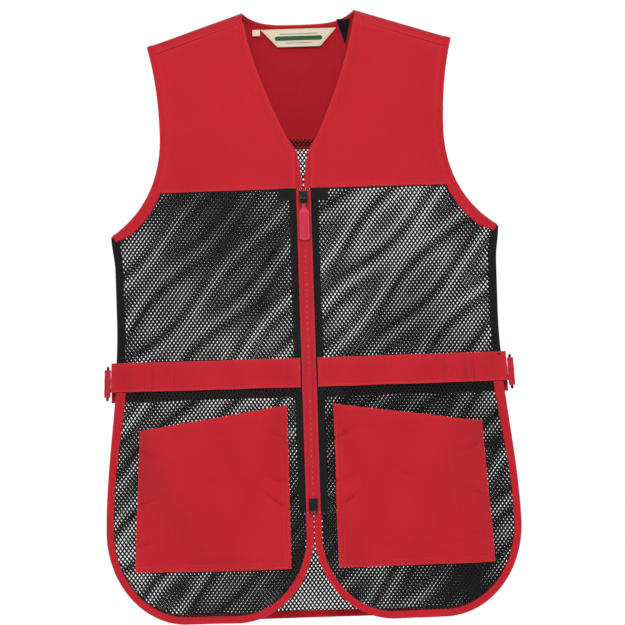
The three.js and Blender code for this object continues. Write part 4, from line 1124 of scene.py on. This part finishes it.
# ---- Sliders and pulls ----
# Enamelled die cast sliders with wire links, softened at their corners. The upper one carries a soft pad with a plain
# raised rim, moulded round the link; the lower one has a bare wire pull.
enamel = knitted_finish("black_enamel", (0.008, 0.008, 0.009), (0.016, 0.016, 0.017), rough=(0.18, 0.35))
enamel_shader = enamel.node_tree.nodes["Principled BSDF"]
enamel_shader.inputs["Metallic"].default_value = 0.6
enamel_shader.inputs["Coat Weight"].default_value = 0.4
for node in ("zip_slider", "lower_slider", "zip_link", "lower_pull"):
    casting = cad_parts[node]
    casting.data.materials.clear()
    casting.data.materials.append(enamel)
    joined = casting.modifiers.new("joined", "WELD")
    joined.merge_threshold = 0.00001
    rounded = casting.modifiers.new("rounded", "BEVEL")
    rounded.width = 0.00035
    rounded.segments = 2
    rounded.limit_method = "ANGLE"
    rounded.angle_limit = math.radians(40)

soft_red = woven_finish("soft_pull", (0.50, 0.022, 0.055), (0.62, 0.035, 0.08), (0.70, 0.12, 0.16), thread=0.0006,
                        rough=(0.45, 0.6), sheen=0.1)
pull_low, pull_high = [np.array(corner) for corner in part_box("zip_pull")]
pad_half = np.array([(pull_high[0] - pull_low[0]) / 2, 0.0190])
pad_middle = np.array([0, (pull_low[1] + pull_high[1]) / 2, pull_low[2] + pad_half[1]])
pad_turn = np.linspace(0, 2 * math.pi, 65)[:-1][None]
ring = np.array([0.06, 0.3, 0.55, 0.66, 0.72, 0.80, 0.88, 0.95, 1.0, 1.0, 0.95, 0.85, 0.5, 0.06])[:, None]
raise_pad = np.array([0.55, 0.55, 0.55, 0.56, 0.70, 1.0, 1.0, 0.8, 0.3, -0.5, -0.85, -0.9, -0.9, -0.9])[:, None]
raise_pad = raise_pad * 0.001
pad_x = pad_half[0] * ring * np.sign(np.cos(pad_turn)) * np.abs(np.cos(pad_turn)) ** 0.28
pad_z = pad_half[1] * (1 - (1 - ring) * 0.55 * (ring > 0.5)) * np.where(ring > 0.5, 1, ring / 0.5 * 0.725)
pad_z = pad_z * np.sign(np.sin(pad_turn)) * np.abs(np.sin(pad_turn)) ** 0.2
pad_grid = np.stack(np.broadcast_arrays(pad_x, -raise_pad + 0.0001, pad_z), axis=-1) + pad_middle
pad_rows, pad_cols = pad_grid.shape[:2]
pad_number = np.arange(pad_rows * pad_cols).reshape(pad_rows, pad_cols)
pad_after = np.roll(pad_number, -1, axis=1)
pad_quads = np.stack([pad_number[:-1], pad_after[:-1], pad_after[1:], pad_number[1:]], axis=-1).reshape(-1, 4)
pad_faces = pad_quads.tolist() + [pad_number[0][::-1].tolist(), pad_number[-1].tolist()]
sense = np.cross(pad_grid[1, 0] - pad_grid[0, 0], pad_grid[0, 1] - pad_grid[0, 0])
if sense[1] < 0:
    pad_faces = [f[::-1] for f in pad_faces]
pad = new_piece("pull_pad", pad_grid.reshape(-1, 3), pad_faces, pad_grid.reshape(-1, 3)[:, [0, 2]],
                np.broadcast_to(np.exp(-((ring - 0.85) / 0.08) ** 2), (pad_rows, pad_cols)).ravel())
sewn(pad, soft_red, "soft_pull", "zip_pull", "zip_pull")
eye_turn = np.linspace(0, 2 * math.pi, 33)[:-1]
eye_z = float(pull_high[2]) - 0.0021
neck_half_width = 0.0023
eye_radius, eye_wall = 0.00165, 0.00045
eye_centre = np.stack([np.zeros(32), pad_middle[1] + eye_radius * np.cos(eye_turn),
                       eye_z + eye_radius * np.sin(eye_turn)], axis=1)
eye_out = np.stack([np.zeros(32), np.cos(eye_turn), np.sin(eye_turn)], axis=1) * eye_wall
eye = ring_tube("pull_eye", eye_centre, np.tile([neck_half_width, 0, 0], (32, 1)), eye_out)
sewn(eye, soft_red, "soft_pull", "zip_pull")
stem_v = np.linspace(0, 1, 12)[:, None]
stem_u = np.linspace(-1, 1, 12)[None]
stem_z = lerp(eye_z - 0.0012, pad_middle[2] + pad_half[1] - 0.0016, stem_v)
stem_x = stem_u * lerp(neck_half_width, 0.0050, stem_v ** 1.5)
stem_grid = np.stack(np.broadcast_arrays(stem_x, pad_middle[1] + 0 * stem_u, stem_z), axis=-1)
stem = cloth_cut("pull_stem", stem_grid, 0.0017, outward_of[FRONT])
sewn(stem, soft_red, "soft_pull", "zip_pull")
